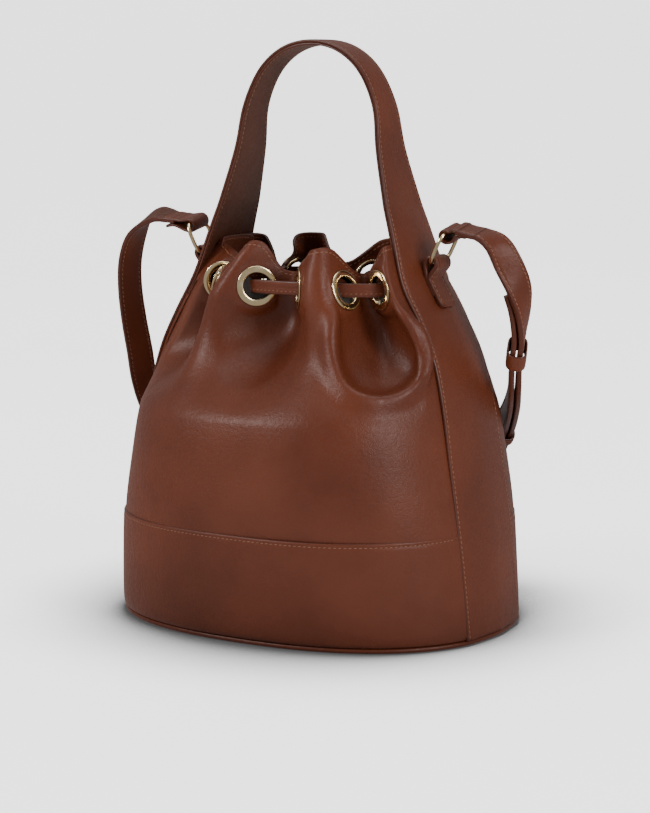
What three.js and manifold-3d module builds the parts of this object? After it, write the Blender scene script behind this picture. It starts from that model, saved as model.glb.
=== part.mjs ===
// A leather bucket bag with a gathered mouth: base, panels, side strips that run on into
// a carrying handle, eyelets and drawstring, and a shoulder strap on two rings.
// Millimetres. +Z is up, +X is to the wearer's right, the front faces -Y, and the base stands on z = 0.
import * as THREE from "three";
import { mergeVertices } from "three/addons/utils/BufferGeometryUtils.js";
import Module from "manifold-3d";

const wasm = await Module();
wasm.setup();

// ---- driving dimensions -------------------------------------------------------------------------

const GAP = 0.3;
const FINEST = 0.04;
const LEATHER = 2.2;
const LINING = 1.2;
const BASE_THICK = 3.4;
const BOARD_THICK = 2.4;
const BAND_TOP = 76;
const PROUD = 1.1;
const SEAM_TUCK = 2.6;
const STRIP_THICK = 2.6;
const BASE_INSET = 1.2;
const BOARD_INSET = 11;
const BASE_COLUMNS = 22;
const BAND_HEIGHTS = [BASE_THICK + GAP, 14, 40, BAND_TOP];

// The side seams, from the base up: distance from the middle, half the side strip's width and how far
// the strip bows out between its edges.
const SEAM = [
  { z: 0, x: 138.8, half: 38.5, bow: 5.6 },
  { z: 40, x: 135, half: 39, bow: 4.6 },
  { z: 76, x: 130.8, half: 39.3, bow: 3.6 },
  { z: 120, x: 124, half: 38.4, bow: 3.8 },
  { z: 160, x: 117.5, half: 37, bow: 4.4 },
  { z: 190, x: 109.5, half: 35, bow: 5.4 },
  { z: 215, x: 97.5, half: 33.4, bow: 6.6 },
  { z: 240, x: 83.5, half: 32.4, bow: 7 },
  { z: 270, x: 74, half: 27.6, bow: 4 },
  { z: 300, x: 64.3, half: 22.8, bow: 1.2 },
];

// The smooth body: how far its middle stands out to the front and back, and how square its outline is.
const BODY = [
  { z: 0, depth: 110.7, square: 2.3 },
  { z: 76, depth: 118.6, square: 2.5 },
  { z: 110, depth: 120, square: 2.45 },
  { z: 150, depth: 115, square: 2.4 },
  { z: 190, depth: 97, square: 2.3 },
  { z: 225, depth: 80, square: 2.2 },
];

const STRIP_HEIGHTS = [BASE_THICK + GAP, 40, BAND_TOP, 120, 160, 190, 215, 240];

// The handle's middle line above the necks, from the right leg to the top of the arch.
const HANDLE_START = 290;
const NECK_HEIGHTS = [240 + GAP, 255, 272, HANDLE_START];
const ARCH = [
  { x: 67.3, z: 290.4, half: 24.4 },
  { x: 57.3, z: 330, half: 17.8 },
  { x: 52.3, z: 360, half: 14.2 },
  { x: 39.3, z: 385, half: 13 },
  { x: 21.5, z: 398.6, half: 12.7 },
  { x: 0, z: 403, half: 12.7 },
];
const HANDLE_PLY = 1.7;

// The gathered mouth in plan, from the left seam to the right seam: corners of the folds, each with the
// height of the rim there. Ridges stand out and valleys turn in.
const MOUTH_Z = 237;
const FOLD_TOP = 222;
const FOLD_FOOT = 150;
const MOUTH_LEAN = 0.0034;
const CORNER_CUT = 5;
const FRONT_FOLDS = [
  { x: -70, y: 43, rim: 270 },
  { x: -46, y: 26, rim: 251 },
  { x: -47, y: 70, rim: 265 },
  { x: -36, y: 74, rim: 266 },
  { x: 3, y: 38, rim: 247 },
  { x: 33, y: 77, rim: 268 },
  { x: 48, y: 73, rim: 265 },
  { x: 55, y: 30, rim: 248 },
  { x: 85, y: 48, rim: 263 },
];
const BACK_FOLDS = [
  { x: -79, y: 46, rim: 263 },
  { x: -53, y: 27, rim: 250 },
  { x: -45, y: 60, rim: 265 },
  { x: -35, y: 61, rim: 265 },
  { x: -1, y: 31, rim: 249 },
  { x: 33, y: 61, rim: 265 },
  { x: 43, y: 60, rim: 264 },
  { x: 55, y: 27, rim: 249 },
  { x: 81, y: 46, rim: 263 },
];
const SEAM_RIM = 259;
const SMOOTH_TOP = 225;
const PANEL_COLUMNS = 38;
const PANEL_LEVELS = [0, 0.2, 0.38, 0.5, 0.61, 0.72, 0.86, 1];

// Each eyelet sits in the middle of the flank between two neighbouring folds.
const EYELET_FLANKS = [[0, 1], [1, 2], [3, 4], [4, 5], [6, 7], [7, 8]];

const EYELET_OUTER = 14;
const EYELET_HOLE = 9.2;
const EYELET_TUBE = 10.2;
const EYELET_SIDES = 14;
const EYELET_FLANGE = 1.7;
const EYELET_SEAT = 0.4;
const WASHER_OUTER = 13;
const WASHER_BACK = -LEATHER - 0.9;
const WASHER_THICK = 0.8;

const CORD_WIDTH = 9.5;
const CORD_THICK = 2.6;
const CORD_STEPS = 110;
const STOPPER = { width: 22.4, thick: 4.6, wall: 1.8, height: 15, share: 0.173 };

const RING_WIRE = 1.4;
const RING_HALF_WIDTH = 13;
const RING_HALF_HEIGHT = 12.4;
const RING_FOOT = { x: 93.2, z: 252.6 };
const RING_LEAN = 0.44;
const TAB_WIDTH = 20;
const TAB_THICK = 2;
const TAB_FOOT = 224;

const LOOP_HOLE = 3.4;
const LOOP_RISE = 0.8;
const RING_SQUARE = 3.2;

const STRAP_WIDTH = 20;
const STRAP_THICK = 3.6;
const STRAP_START = { x: 126, z: 274.6 };
const TAIL_GAP = 1.4;
const KEEPER = { spare: 1.2, wall: 2 };
const SLIDING_KEEPER = { height: 11.5, share: 0.62 };
const FIXED_KEEPER = { height: 9, share: 0.95 };
const BUCKLE = { wire: 2.8, halfWidth: 13.6, halfHeight: 12, ahead: 14.2, lift: 1.8 };
const PRONG = { radius: 1.1, length: 24, lift: 4.8 };

// The shoulder strap's routes, chosen by hand: each point, then the direction of the strap's width there.
const SHORT_ROUTE = [
  [126.5, 0, 274.6, 0, 0.97, 0.2],
  [131, 0.4, 272.6, 0.05, 0.96, 0.26],
  [138, 3.2, 266.5, 0.36, 0.85, 0.38],
  [144, 7, 254, 0.6, 0.65, 0.45],
  [149.5, 12, 238, 0.4, 0.85, 0.25],
  [150, 18, 223, 0, 0.97, 0.2],
  [147, 24, 204, -0.35, 0.92, 0.2],
  [142, 30, 188, -0.42, 0.88, 0.22],
  [134, 45, 169, -0.45, 0.85, 0.28],
  [119, 73, 150, -0.44, 0.78, 0.42],
  [99, 103, 131, -0.5, 0.58, 0.6],
  [84, 119, 114, -0.5, 0.42, 0.74],
];
const LONG_ROUTE = [
  [-126.3, 0, 277.6, 0, 0.97, 0.22],
  [-131, 0.2, 278.4, -0.03, 0.95, 0.3],
  [-139, 1, 278.4, -0.1, 0.89, 0.4],
  [-150, 2, 273.5, -0.05, 0.92, 0.35],
  [-160, 4, 262, 0.2, 0.95, 0.15],
  [-167, 6, 244, 0.3, 0.95, 0],
  [-169, 8, 224, 0.36, 0.93, 0],
  [-168, 11, 200, 0.46, 0.88, 0],
  [-166, 15, 176, 0.55, 0.83, 0.05],
  [-166, 21, 153, 0.58, 0.8, 0.15],
  [-165, 33, 129, 0.55, 0.8, 0.25],
  [-157, 52, 105, 0.45, 0.82, 0.35],
  [-139, 76, 82, 0.3, 0.85, 0.42],
  [-111, 102, 60, 0.15, 0.9, 0.4],
  [-76, 124, 43, 0.05, 0.95, 0.3],
  [-36, 135, 33, 0, 0.98, 0.2],
  [5, 137, 33, 0, 0.98, 0.2],
  [43, 135, 45, -0.1, 0.95, 0.3],
  [62, 133, 66, -0.3, 0.8, 0.5],
  [72, 126, 92, -0.45, 0.55, 0.68],
];
const LONG_TAIL = { first: 0.97, last: 0.36, step: 0.06 };
const SHORT_STEPS = 34;
const LONG_STEPS = 84;

// The drawstring's hanging ends behind the back panel (y, z), the bend that leads into each, and its way
// round behind the side strips (x, y) at mouth level.
const STRING_TAIL_X = 5.6;
const STRING_BEND = { x: 8, y: 50, z: MOUTH_Z - 6 };
const STRING_BEHIND_STRIP = [[77, 22], [79.5, 0], [77, -20]];
const STRING_TAIL = [
  [124.5, 118], [124, 132], [121, 146], [112.5, 162], [100, 176], [86, 190], [72, 203], [59, 218],
];

const LINING_FOOT = 6.6;
const LINING_TOP = 221;
const LINING_MOUTH_DEPTH = 24;
const LINING_SQUARE = 2.35;

const POCKET_HALF = 50;
const POCKET_BOTTOM = 44;
const POCKET_TOP = 108;
const POCKET_FACE = 99;
const ZIP_LEVEL = 99;
const SLIDER_X = -42;
const ZIP_TAPE = { width: 96, thick: 0.9, height: 9 };
const SLIDER = { width: 9, thick: 2.6, height: 6.5 };
const PULL = { width: 4.5, thick: 1.2, height: 24, drop: 10 };

const LEATHER_BROWN = 0x7a4630;
const LINING_DARK = 0x2a1d18;
const GOLD = 0xd9b676;
const BOARD_GREY = 0x8a8074;
const TAPE_DARK = 0x1c1613;

// ---- small helpers ------------------------------------------------------------------------------

const bag = new THREE.Group();

function add(name, geometry, color = LEATHER_BROWN, roughness = 0.5, metalness = 0) {
  const material = new THREE.MeshStandardMaterial({ color, roughness, metalness });
  const mesh = new THREE.Mesh(geometry, material);
  mesh.name = name;
  bag.add(mesh);
  return mesh;
}

// A smooth value read off a list of stations at height z.
function along(stations, key, z) {
  const last = stations.length - 1;
  let i = 0;
  while (i < last - 1 && z > stations[i + 1].z) {
    i += 1;
  }
  const a = stations[i];
  const b = stations[i + 1];
  const before = stations[Math.max(i - 1, 0)];
  const after = stations[Math.min(i + 2, last)];
  const span = b.z - a.z;
  const slopeA = (b[key] - before[key]) / (b.z - before.z);
  const slopeB = (after[key] - a[key]) / (after.z - a.z);
  const t = Math.min(Math.max((z - a.z) / span, 0), 1);
  const t2 = t * t;
  const t3 = t2 * t;
  const fromA = (2 * t3 - 3 * t2 + 1) * a[key] + (t3 - 2 * t2 + t) * span * slopeA;
  const fromB = (3 * t2 - 2 * t3) * b[key] + (t3 - t2) * span * slopeB;
  return fromA + fromB;
}

function smoothstep(t) {
  const k = Math.min(Math.max(t, 0), 1);
  return k * k * (3 - 2 * k);
}

// Points spaced evenly by length along a plan line, with any further values they carry.
function spaced(line, count) {
  const reach = [0];
  for (let i = 1; i < line.length; i += 1) {
    reach.push(reach[i - 1] + Math.hypot(line[i].x - line[i - 1].x, line[i].y - line[i - 1].y));
  }
  const total = reach[reach.length - 1];
  const result = [];
  let i = 1;
  for (let k = 0; k <= count; k += 1) {
    const want = (total * k) / count;
    while (i < line.length - 1 && reach[i] < want) {
      i += 1;
    }
    const t = (want - reach[i - 1]) / (reach[i] - reach[i - 1]);
    const mix = (key) => line[i - 1][key] + (line[i][key] - line[i - 1][key]) * t;
    result.push({ x: mix("x"), y: mix("y"), rim: mix("rim") });
  }
  return result;
}

// A closed solid between two grids of points; each grid is a list of rows.
function slab(outer, inner, closed = false) {
  const rows = outer.length;
  const cols = outer[0].length;
  const points = [...outer.flat(), ...inner.flat()];
  const faces = [];
  const at = (layer, r, c) => layer * rows * cols + r * cols + (c % cols);
  const quad = (a, b, c, d) => faces.push(a, b, c, a, c, d);
  const spans = closed ? cols : cols - 1;
  for (let r = 0; r < rows - 1; r += 1) {
    for (let c = 0; c < spans; c += 1) {
      quad(at(0, r, c), at(0, r, c + 1), at(0, r + 1, c + 1), at(0, r + 1, c));
      quad(at(1, r, c), at(1, r + 1, c), at(1, r + 1, c + 1), at(1, r, c + 1));
    }
    if (!closed) {
      quad(at(0, r, 0), at(0, r + 1, 0), at(1, r + 1, 0), at(1, r, 0));
      quad(at(0, r, cols - 1), at(1, r, cols - 1), at(1, r + 1, cols - 1), at(0, r + 1, cols - 1));
    }
  }
  for (let c = 0; c < spans; c += 1) {
    quad(at(0, 0, c), at(1, 0, c), at(1, 0, c + 1), at(0, 0, c + 1));
    quad(at(0, rows - 1, c), at(0, rows - 1, c + 1), at(1, rows - 1, c + 1), at(1, rows - 1, c));
  }
  return outward(points, faces);
}

function outward(points, faces) {
  let volume = 0;
  for (let i = 0; i < faces.length; i += 3) {
    const [a, b, c] = [points[faces[i]], points[faces[i + 1]], points[faces[i + 2]]];
    volume += a.dot(new THREE.Vector3().crossVectors(b, c));
  }
  if (volume < 0) {
    for (let i = 0; i < faces.length; i += 3) {
      [faces[i + 1], faces[i + 2]] = [faces[i + 2], faces[i + 1]];
    }
  }
  const geometry = new THREE.BufferGeometry().setFromPoints(points);
  geometry.setIndex(faces);
  return geometry;
}

function toSolid(geometry) {
  const bare = geometry.clone();
  bare.deleteAttribute("normal");
  bare.deleteAttribute("uv");
  const merged = mergeVertices(bare, 1e-4);
  const vertProperties = new Float32Array(merged.attributes.position.array);
  const triVerts = new Uint32Array(merged.index.array);
  return new wasm.Manifold(new wasm.Mesh({ numProp: 3, vertProperties, triVerts }));
}

function toGeometry(solid) {
  const mesh = solid.getMesh();
  const geometry = new THREE.BufferGeometry();
  geometry.setAttribute("position", new THREE.BufferAttribute(mesh.vertProperties, 3));
  geometry.setIndex(new THREE.BufferAttribute(mesh.triVerts, 1));
  return geometry;
}

function cut(geometry, tools) {
  let solid = toSolid(geometry);
  for (const tool of tools) {
    solid = solid.subtract(toSolid(tool));
  }
  return toGeometry(solid.simplify(FINEST));
}

// A ribbon of even width and thickness along a line of points; sides gives its width direction.
function ribbon(points, sides, width, thick) {
  const outer = [];
  const inner = [];
  points.forEach((point, i) => {
    const before = points[Math.max(i - 1, 0)];
    const after = points[Math.min(i + 1, points.length - 1)];
    const tangent = new THREE.Vector3().subVectors(after, before).normalize();
    const side = sides[i].clone().addScaledVector(tangent, -sides[i].dot(tangent)).normalize();
    const normal = new THREE.Vector3().crossVectors(tangent, side);
    const row = (lift) => [-1, 1].map((edge) => point.clone()
      .addScaledVector(side, (edge * width) / 2)
      .addScaledVector(normal, (lift * thick) / 2));
    outer.push(row(1));
    inner.push(row(-1));
  });
  return slab(outer, inner);
}

// ---- the body's shape ---------------------------------------------------------------------------

// Half of the smooth outline at height z, from the left seam round to the right seam, y positive outwards.
function smoothOutline(z, count) {
  const seamX = along(SEAM, "x", z);
  const half = along(SEAM, "half", z);
  const depth = along(BODY, "depth", z);
  const square = along(BODY, "square", z);
  const reach = seamX / (1 - (half / depth) ** square) ** (1 / square);
  const start = Math.asin((half / depth) ** (square / 2));
  const line = [];
  const steps = 90;
  for (let k = 0; k <= steps; k += 1) {
    const t = Math.PI - start - ((Math.PI - 2 * start) * k) / steps;
    const c = Math.cos(t);
    const x = reach * Math.sign(c) * Math.abs(c) ** (2 / square);
    const y = depth * Math.sin(t) ** (2 / square);
    line.push({ x, y, rim: 0 });
  }
  return spaced(line, count);
}

// The folded plan at the mouth, with each corner rounded.
function foldedOutline(folds, count) {
  const seam = { x: along(SEAM, "x", MOUTH_Z), y: along(SEAM, "half", MOUTH_Z), rim: SEAM_RIM };
  const corners = [{ ...seam, x: -seam.x }, ...folds, seam];
  const line = [corners[0]];
  for (let i = 1; i < corners.length - 1; i += 1) {
    const corner = corners[i];
    const towards = (other) => {
      const length = Math.hypot(other.x - corner.x, other.y - corner.y);
      const t = Math.min(CORNER_CUT / length, 0.45);
      return { x: corner.x + (other.x - corner.x) * t, y: corner.y + (other.y - corner.y) * t };
    };
    const from = towards(corners[i - 1]);
    const to = towards(corners[i + 1]);
    for (let k = 0; k <= 6; k += 1) {
      const t = k / 6;
      const [p, q, r] = [(1 - t) ** 2, 2 * t * (1 - t), t ** 2];
      const x = p * from.x + q * corner.x + r * to.x;
      const y = p * from.y + q * corner.y + r * to.y;
      line.push({ x, y, rim: corner.rim });
    }
  }
  line.push(seam);
  return spaced(line, count);
}

function roundedRim(outline, k) {
  let sum = 0;
  let weight = 0;
  for (let j = -2; j <= 2; j += 1) {
    const index = Math.min(Math.max(k + j, 0), outline.length - 1);
    const share = 3 - Math.abs(j);
    sum += outline[index].rim * share;
    weight += share;
  }
  return sum / weight;
}

// One point of the panel between the seams: k of count along it, at height z. side is -1 in front.
function panelPoint(smooth, folded, k, z, side) {
  const grip = smoothstep((z - FOLD_FOOT) / (FOLD_TOP - FOLD_FOOT));
  const narrow = along(SEAM, "x", z) / along(SEAM, "x", MOUTH_Z);
  const lean = 1 - MOUTH_LEAN * (z - MOUTH_Z);
  const x = smooth[k].x * (1 - grip) + folded[k].x * narrow * grip;
  const y = smooth[k].y * (1 - grip) + folded[k].y * lean * grip;
  const seam = along(SEAM, "half", z);
  const nearSeam = Math.max(0, 1 - Math.min(k, folded.length - 1 - k) / 2);
  const held = y + (seam - y) * nearSeam * grip;
  return new THREE.Vector3(x, side * held, z);
}

// A grid of the panel's outer face, from the band up to the rim.
function panelGrid(folds, side) {
  const count = PANEL_COLUMNS;
  const folded = foldedOutline(folds, count);
  const foot = BAND_TOP + GAP;
  return PANEL_LEVELS.map((level) => {
    const row = [];
    for (let k = 0; k <= count; k += 1) {
      const z = foot + (roundedRim(folded, k) - foot) * level;
      row.push(panelPoint(smoothOutline(Math.min(z, SMOOTH_TOP), count), folded, k, z, side));
    }
    return row;
  });
}

// The same grid moved inwards, level by level, along the plan's own normal.
function inset(grid, side, distance) {
  return grid.map((row) => row.map((point, k) => {
    const before = row[Math.max(k - 1, 0)];
    const after = row[Math.min(k + 1, row.length - 1)];
    const normal = new THREE.Vector3(-(after.y - before.y), after.x - before.x, 0).normalize();
    return point.clone().addScaledVector(normal, -side * distance);
  }));
}

// Pulls the grid's ends back from the seams by the gap between neighbouring pieces.
function clearOfSeams(grid) {
  return grid.map((row) => row.map((point, k) => {
    const end = k === 0 || k === row.length - 1;
    const next = k === 0 ? row[1] : row[row.length - 2];
    const step = new THREE.Vector3().subVectors(next, point).normalize();
    return end ? point.clone().addScaledVector(step, GAP) : point;
  }));
}

// ---- base and bands -----------------------------------------------------------------------------

function baseOutline(inward) {
  const shape = new THREE.Shape();
  const half = smoothOutline(0, BASE_COLUMNS);
  const right = [-0.5, 0, 0.5].map((t) => {
    const seamX = along(SEAM, "x", 0) + along(SEAM, "bow", 0) * (1 - t * t);
    return { x: seamX, y: along(SEAM, "half", 0) * t };
  });
  const front = half.map((p) => ({ x: p.x, y: -p.y }));
  const back = half.map((p) => ({ x: -p.x, y: p.y }));
  const left = right.map((p) => ({ x: -p.x, y: -p.y }));
  [...front, ...right, ...back, ...left].forEach((p, i) => {
    const size = Math.hypot(p.x, p.y);
    const x = p.x * (1 - inward / size);
    const y = p.y * (1 - inward / size);
    if (i === 0) {
      shape.moveTo(x, y);
    } else {
      shape.lineTo(x, y);
    }
  });
  return shape;
}

function plate(inward, thick, z) {
  const geometry = new THREE.ExtrudeGeometry(baseOutline(inward), { depth: thick, bevelEnabled: false });
  geometry.translate(0, 0, z);
  return geometry;
}

function baseBand(side) {
  const place = (z) => (p) => new THREE.Vector3(p.x, side * p.y, z);
  const grid = BAND_HEIGHTS.map((z) => smoothOutline(z, BASE_COLUMNS).map(place(z)));
  return slab(clearOfSeams(grid), clearOfSeams(inset(grid, side, LEATHER)));
}

// ---- side strips, necks and handle --------------------------------------------------------------

function stripRow(z, side, lift, count = 6) {
  const row = [];
  for (let k = 0; k <= count; k += 1) {
    const t = -1 + (2 * k) / count;
    const x = along(SEAM, "x", z) + along(SEAM, "bow", z) * (1 - t * t) + lift;
    row.push(new THREE.Vector3(side * x, t * (along(SEAM, "half", z) - SEAM_TUCK), z));
  }
  return row;
}

function sideStrip(side, heights) {
  const outer = heights.map((z) => stripRow(z, side, PROUD));
  const inner = heights.map((z) => stripRow(z, side, PROUD - STRIP_THICK));
  return slab(outer, inner);
}

function archPoints(steps) {
  const right = ARCH.map((p) => new THREE.Vector3(p.x, p.half, p.z));
  const left = ARCH.slice(0, -1).reverse().map((p) => new THREE.Vector3(-p.x, p.half, p.z));
  const curve = new THREE.CatmullRomCurve3([...right, ...left], false, "centripetal");
  return curve.getSpacedPoints(steps);
}

function handlePly(low, high) {
  const line = archPoints(30);
  const rows = (lift) => line.map((point, i) => {
    const before = line[Math.max(i - 1, 0)];
    const after = line[Math.min(i + 1, line.length - 1)];
    const [dx, dz] = [after.x - before.x, after.z - before.z];
    const size = Math.hypot(dx, dz);
    const x = point.x + (dz / size) * lift;
    const z = point.z - (dx / size) * lift;
    return [-1, -0.33, 0.33, 1].map((t) => new THREE.Vector3(x, t * point.y, z));
  });
  return slab(rows(high), rows(low));
}

// ---- eyelets and drawstring ---------------------------------------------------------------------

function flankMiddle(folds, [a, b], side) {
  const start = folds[a];
  const end = folds[b];
  const centre = new THREE.Vector3((start.x + end.x) / 2, (side * (start.y + end.y)) / 2, MOUTH_Z);
  const run = new THREE.Vector3(end.x - start.x, side * (end.y - start.y), 0).normalize();
  const rise = flankRise(centre);
  const normal = new THREE.Vector3().crossVectors(run, rise).normalize();
  normal.multiplyScalar(normal.y * side < 0 ? -1 : 1);
  return { centre, normal };
}

// The direction that the leather takes upwards at a point of the mouth.
function flankRise(centre) {
  const step = 10;
  const wider = along(SEAM, "x", MOUTH_Z - step);
  const narrower = along(SEAM, "x", MOUTH_Z + step);
  const x = (centre.x * (narrower - wider)) / along(SEAM, "x", MOUTH_Z);
  const y = -centre.y * MOUTH_LEAN * 2 * step;
  return new THREE.Vector3(x, y, 2 * step).normalize();
}

function placed(geometry, { centre, normal }) {
  geometry.applyQuaternion(new THREE.Quaternion().setFromUnitVectors(new THREE.Vector3(0, 1, 0), normal));
  geometry.translate(centre.x, centre.y, centre.z);
  return geometry;
}

// The eyelet's axis is its lathe's Y axis; its flange lies on the outer face and its washer inside.
function eyelet(place) {
  const profile = [
    [EYELET_HOLE, WASHER_BACK - WASHER_THICK],
    [WASHER_OUTER, WASHER_BACK - WASHER_THICK],
    [WASHER_OUTER, WASHER_BACK],
    [EYELET_TUBE, WASHER_BACK],
    [EYELET_TUBE, EYELET_SEAT],
    [EYELET_OUTER, EYELET_SEAT],
    [EYELET_OUTER - 0.6, EYELET_FLANGE],
    [EYELET_HOLE + 0.6, EYELET_FLANGE],
    [EYELET_HOLE, WASHER_BACK - WASHER_THICK],
  ].map(([x, y]) => new THREE.Vector2(x, y));
  return placed(new THREE.LatheGeometry(profile, EYELET_SIDES), place);
}

function eyeletClearance(place) {
  const drum = (radius, height) => new THREE.CylinderGeometry(radius, radius, height, EYELET_SIDES);
  const reach = 12;
  const through = drum(EYELET_TUBE + GAP, 20);
  const seat = drum(EYELET_OUTER + GAP, reach);
  seat.translate(0, EYELET_SEAT - GAP + reach / 2, 0);
  const washer = drum(WASHER_OUTER + GAP, reach);
  washer.translate(0, WASHER_BACK + GAP - reach / 2, 0);
  return [through, seat, washer].map((tool) => placed(tool, place));
}

// The drawstring runs from one hanging end at the back, round through every eyelet, to the other end.
// Each point carries the direction of the string's width.
function drawstringRoute() {
  const upright = new THREE.Vector3(0, 0, 1);
  const level = (x, y) => ({ point: new THREE.Vector3(x, y, MOUTH_Z), side: upright });
  const through = (place) => ({ point: place.centre, side: upright });
  const tail = (side) => STRING_TAIL.map(([y, z]) => ({
    point: new THREE.Vector3(side * STRING_TAIL_X, y, z),
    side: new THREE.Vector3(-side, 0, 0),
  }));
  const bend = (side) => ({
    point: new THREE.Vector3(side * STRING_BEND.x, STRING_BEND.y, STRING_BEND.z),
    side: new THREE.Vector3(-side * 0.6, 0, 0.8),
  });
  const behindStrip = STRING_BEHIND_STRIP.map(([x, y]) => level(x, y));
  const behindLeftStrip = STRING_BEHIND_STRIP.slice().reverse().map(([x, y]) => level(-x, y));
  return [
    ...tail(1),
    bend(1),
    ...backEyelets.slice(3).map(through),
    ...behindStrip,
    ...frontEyelets.slice().reverse().map(through),
    ...behindLeftStrip,
    ...backEyelets.slice(0, 3).map(through),
    bend(-1),
    ...tail(-1).reverse(),
  ];
}

function routed(route, steps) {
  const line = new THREE.CatmullRomCurve3(route.map((r) => r.point), false, "centripetal");
  const turn = new THREE.CatmullRomCurve3(route.map((r) => r.side), false, "centripetal");
  const points = [];
  const sides = [];
  for (let k = 0; k <= steps; k += 1) {
    points.push(line.getPoint(k / steps));
    sides.push(turn.getPoint(k / steps).normalize());
  }
  return { points, sides };
}

// The middle point, direction, width direction and outward direction part of the way along a route.
function frameAt({ points, sides }, share) {
  const i = Math.round(share * (points.length - 1));
  const before = points[Math.max(i - 1, 0)];
  const after = points[Math.min(i + 1, points.length - 1)];
  const tangent = new THREE.Vector3().subVectors(after, before).normalize();
  const side = sides[i].clone().addScaledVector(tangent, -sides[i].dot(tangent)).normalize();
  const normal = new THREE.Vector3().crossVectors(tangent, side);
  return { point: points[i].clone(), tangent, side, normal };
}

// Puts a piece made about the origin (X across the strap, Y along it, Z outwards) on to a frame.
function onFrame(geometry, frame, lift = 0) {
  const facing = frame.side.clone().cross(frame.tangent);
  const turn = new THREE.Matrix4().makeBasis(frame.side, frame.tangent, facing);
  geometry.applyMatrix4(turn);
  const centre = frame.point.clone().addScaledVector(frame.normal, lift);
  geometry.translate(centre.x, centre.y, centre.z);
  return geometry;
}

// A rectangular loop of leather or wire: an opening through a block, along Y.
function loopBlock(innerWidth, innerThick, wall, height) {
  const outer = new THREE.BoxGeometry(innerWidth + 2 * wall, height, innerThick + 2 * wall);
  const hole = new THREE.BoxGeometry(innerWidth, height * 2, innerThick);
  return cut(outer, [hole]);
}

// ---- tabs, rings and the strap's turned ends ----------------------------------------------------

// Draws a side-view outline (x outwards, z up) across the given width, on the right or the left side.
function acrossWidth(shape, width, side) {
  const geometry = new THREE.ExtrudeGeometry(shape, { depth: width, bevelEnabled: false, curveSegments: 8 });
  geometry.rotateX(Math.PI / 2);
  geometry.translate(0, width / 2, 0);
  if (side < 0) {
    geometry.rotateZ(Math.PI);
  }
  return geometry;
}

function stripFace(z) {
  return along(SEAM, "x", z) + along(SEAM, "bow", z) + PROUD + GAP;
}

function ringTab(side) {
  const outline = new THREE.Shape();
  const foot = { x: RING_FOOT.x, z: RING_FOOT.z + LOOP_RISE };
  outline.moveTo(stripFace(TAB_FOOT), TAB_FOOT);
  outline.lineTo(stripFace(TAB_FOOT) + 2 * TAB_THICK, TAB_FOOT);
  outline.lineTo(stripFace(232) + 2 * TAB_THICK, 232);
  outline.lineTo(stripFace(240) + 2 * TAB_THICK, 240);
  outline.lineTo(foot.x + LOOP_HOLE + TAB_THICK, foot.z - 3);
  outline.absarc(foot.x, foot.z, LOOP_HOLE + TAB_THICK, 0, Math.PI, false);
  outline.lineTo(stripFace(244), 244);
  outline.lineTo(stripFace(232), 232);
  outline.closePath();
  outline.holes.push(new THREE.Path().absarc(foot.x, foot.z, LOOP_HOLE, 0, 2 * Math.PI, true));
  return acrossWidth(outline, TAB_WIDTH, side);
}

function wireRing(side) {
  const lean = new THREE.Vector3(RING_LEAN, 0, Math.sqrt(1 - RING_LEAN ** 2));
  const centre = new THREE.Vector3(RING_FOOT.x, 0, RING_FOOT.z).addScaledVector(lean, RING_HALF_HEIGHT);
  const facing = new THREE.Vector3().crossVectors(new THREE.Vector3(0, 1, 0), lean);
  const at = (t) => {
    const [c, s] = [Math.cos(t), Math.sin(t)];
    const across = RING_HALF_WIDTH * Math.sign(c) * Math.abs(c) ** (2 / RING_SQUARE);
    const up = RING_HALF_HEIGHT * Math.sign(s) * Math.abs(s) ** (2 / RING_SQUARE);
    return centre.clone().addScaledVector(lean, up).add(new THREE.Vector3(0, across, 0));
  };
  const steps = 28;
  const sections = [];
  for (let k = 0; k < steps; k += 1) {
    const t = (2 * Math.PI * (k + 0.5)) / steps;
    const tangent = at(t + 0.05).sub(at(t - 0.05)).normalize();
    const outwards = new THREE.Vector3().crossVectors(tangent, facing);
    const ring = [];
    for (let j = 0; j < 8; j += 1) {
      const turn = (2 * Math.PI * j) / 8;
      ring.push(at(t)
        .addScaledVector(facing, RING_WIRE * Math.cos(turn))
        .addScaledVector(outwards, RING_WIRE * Math.sin(turn)));
    }
    sections.push(ring);
  }
  const geometry = closedTube(sections);
  if (side < 0) {
    geometry.rotateZ(Math.PI);
  }
  return geometry;
}

function closedTube(sections) {
  const rows = sections.length;
  const cols = sections[0].length;
  const faces = [];
  for (let r = 0; r < rows; r += 1) {
    for (let c = 0; c < cols; c += 1) {
      const a = r * cols + c;
      const b = r * cols + ((c + 1) % cols);
      const d = ((r + 1) % rows) * cols + c;
      const e = ((r + 1) % rows) * cols + ((c + 1) % cols);
      faces.push(a, b, e, a, e, d);
    }
  }
  return outward(sections.flat(), faces);
}

function ringTop() {
  const rise = Math.sqrt(1 - RING_LEAN ** 2);
  const reach = 2 * RING_HALF_HEIGHT;
  return { x: RING_FOOT.x + RING_LEAN * reach, z: RING_FOOT.z + rise * reach - LOOP_RISE };
}

// The strap's end, turned round the ring's upper bar and sewn to itself.
function strapFold(side) {
  const top = ringTop();
  const outline = new THREE.Shape();
  const radius = LOOP_HOLE + TAB_THICK;
  const half = STRAP_THICK / 2;
  outline.moveTo(STRAP_START.x - GAP, STRAP_START.z + half);
  outline.lineTo(top.x + 4, top.z + radius - 0.4);
  outline.absarc(top.x, top.z, radius, Math.PI / 2, 1.5 * Math.PI, false);
  outline.lineTo(top.x + 5, top.z - radius + 1);
  outline.lineTo(STRAP_START.x - GAP, STRAP_START.z - half);
  outline.closePath();
  outline.holes.push(new THREE.Path().absarc(top.x, top.z, LOOP_HOLE, 0, 2 * Math.PI, true));
  return acrossWidth(outline, STRAP_WIDTH, side);
}

// ---- lining and pocket -------------------------------------------------------------------------

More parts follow.
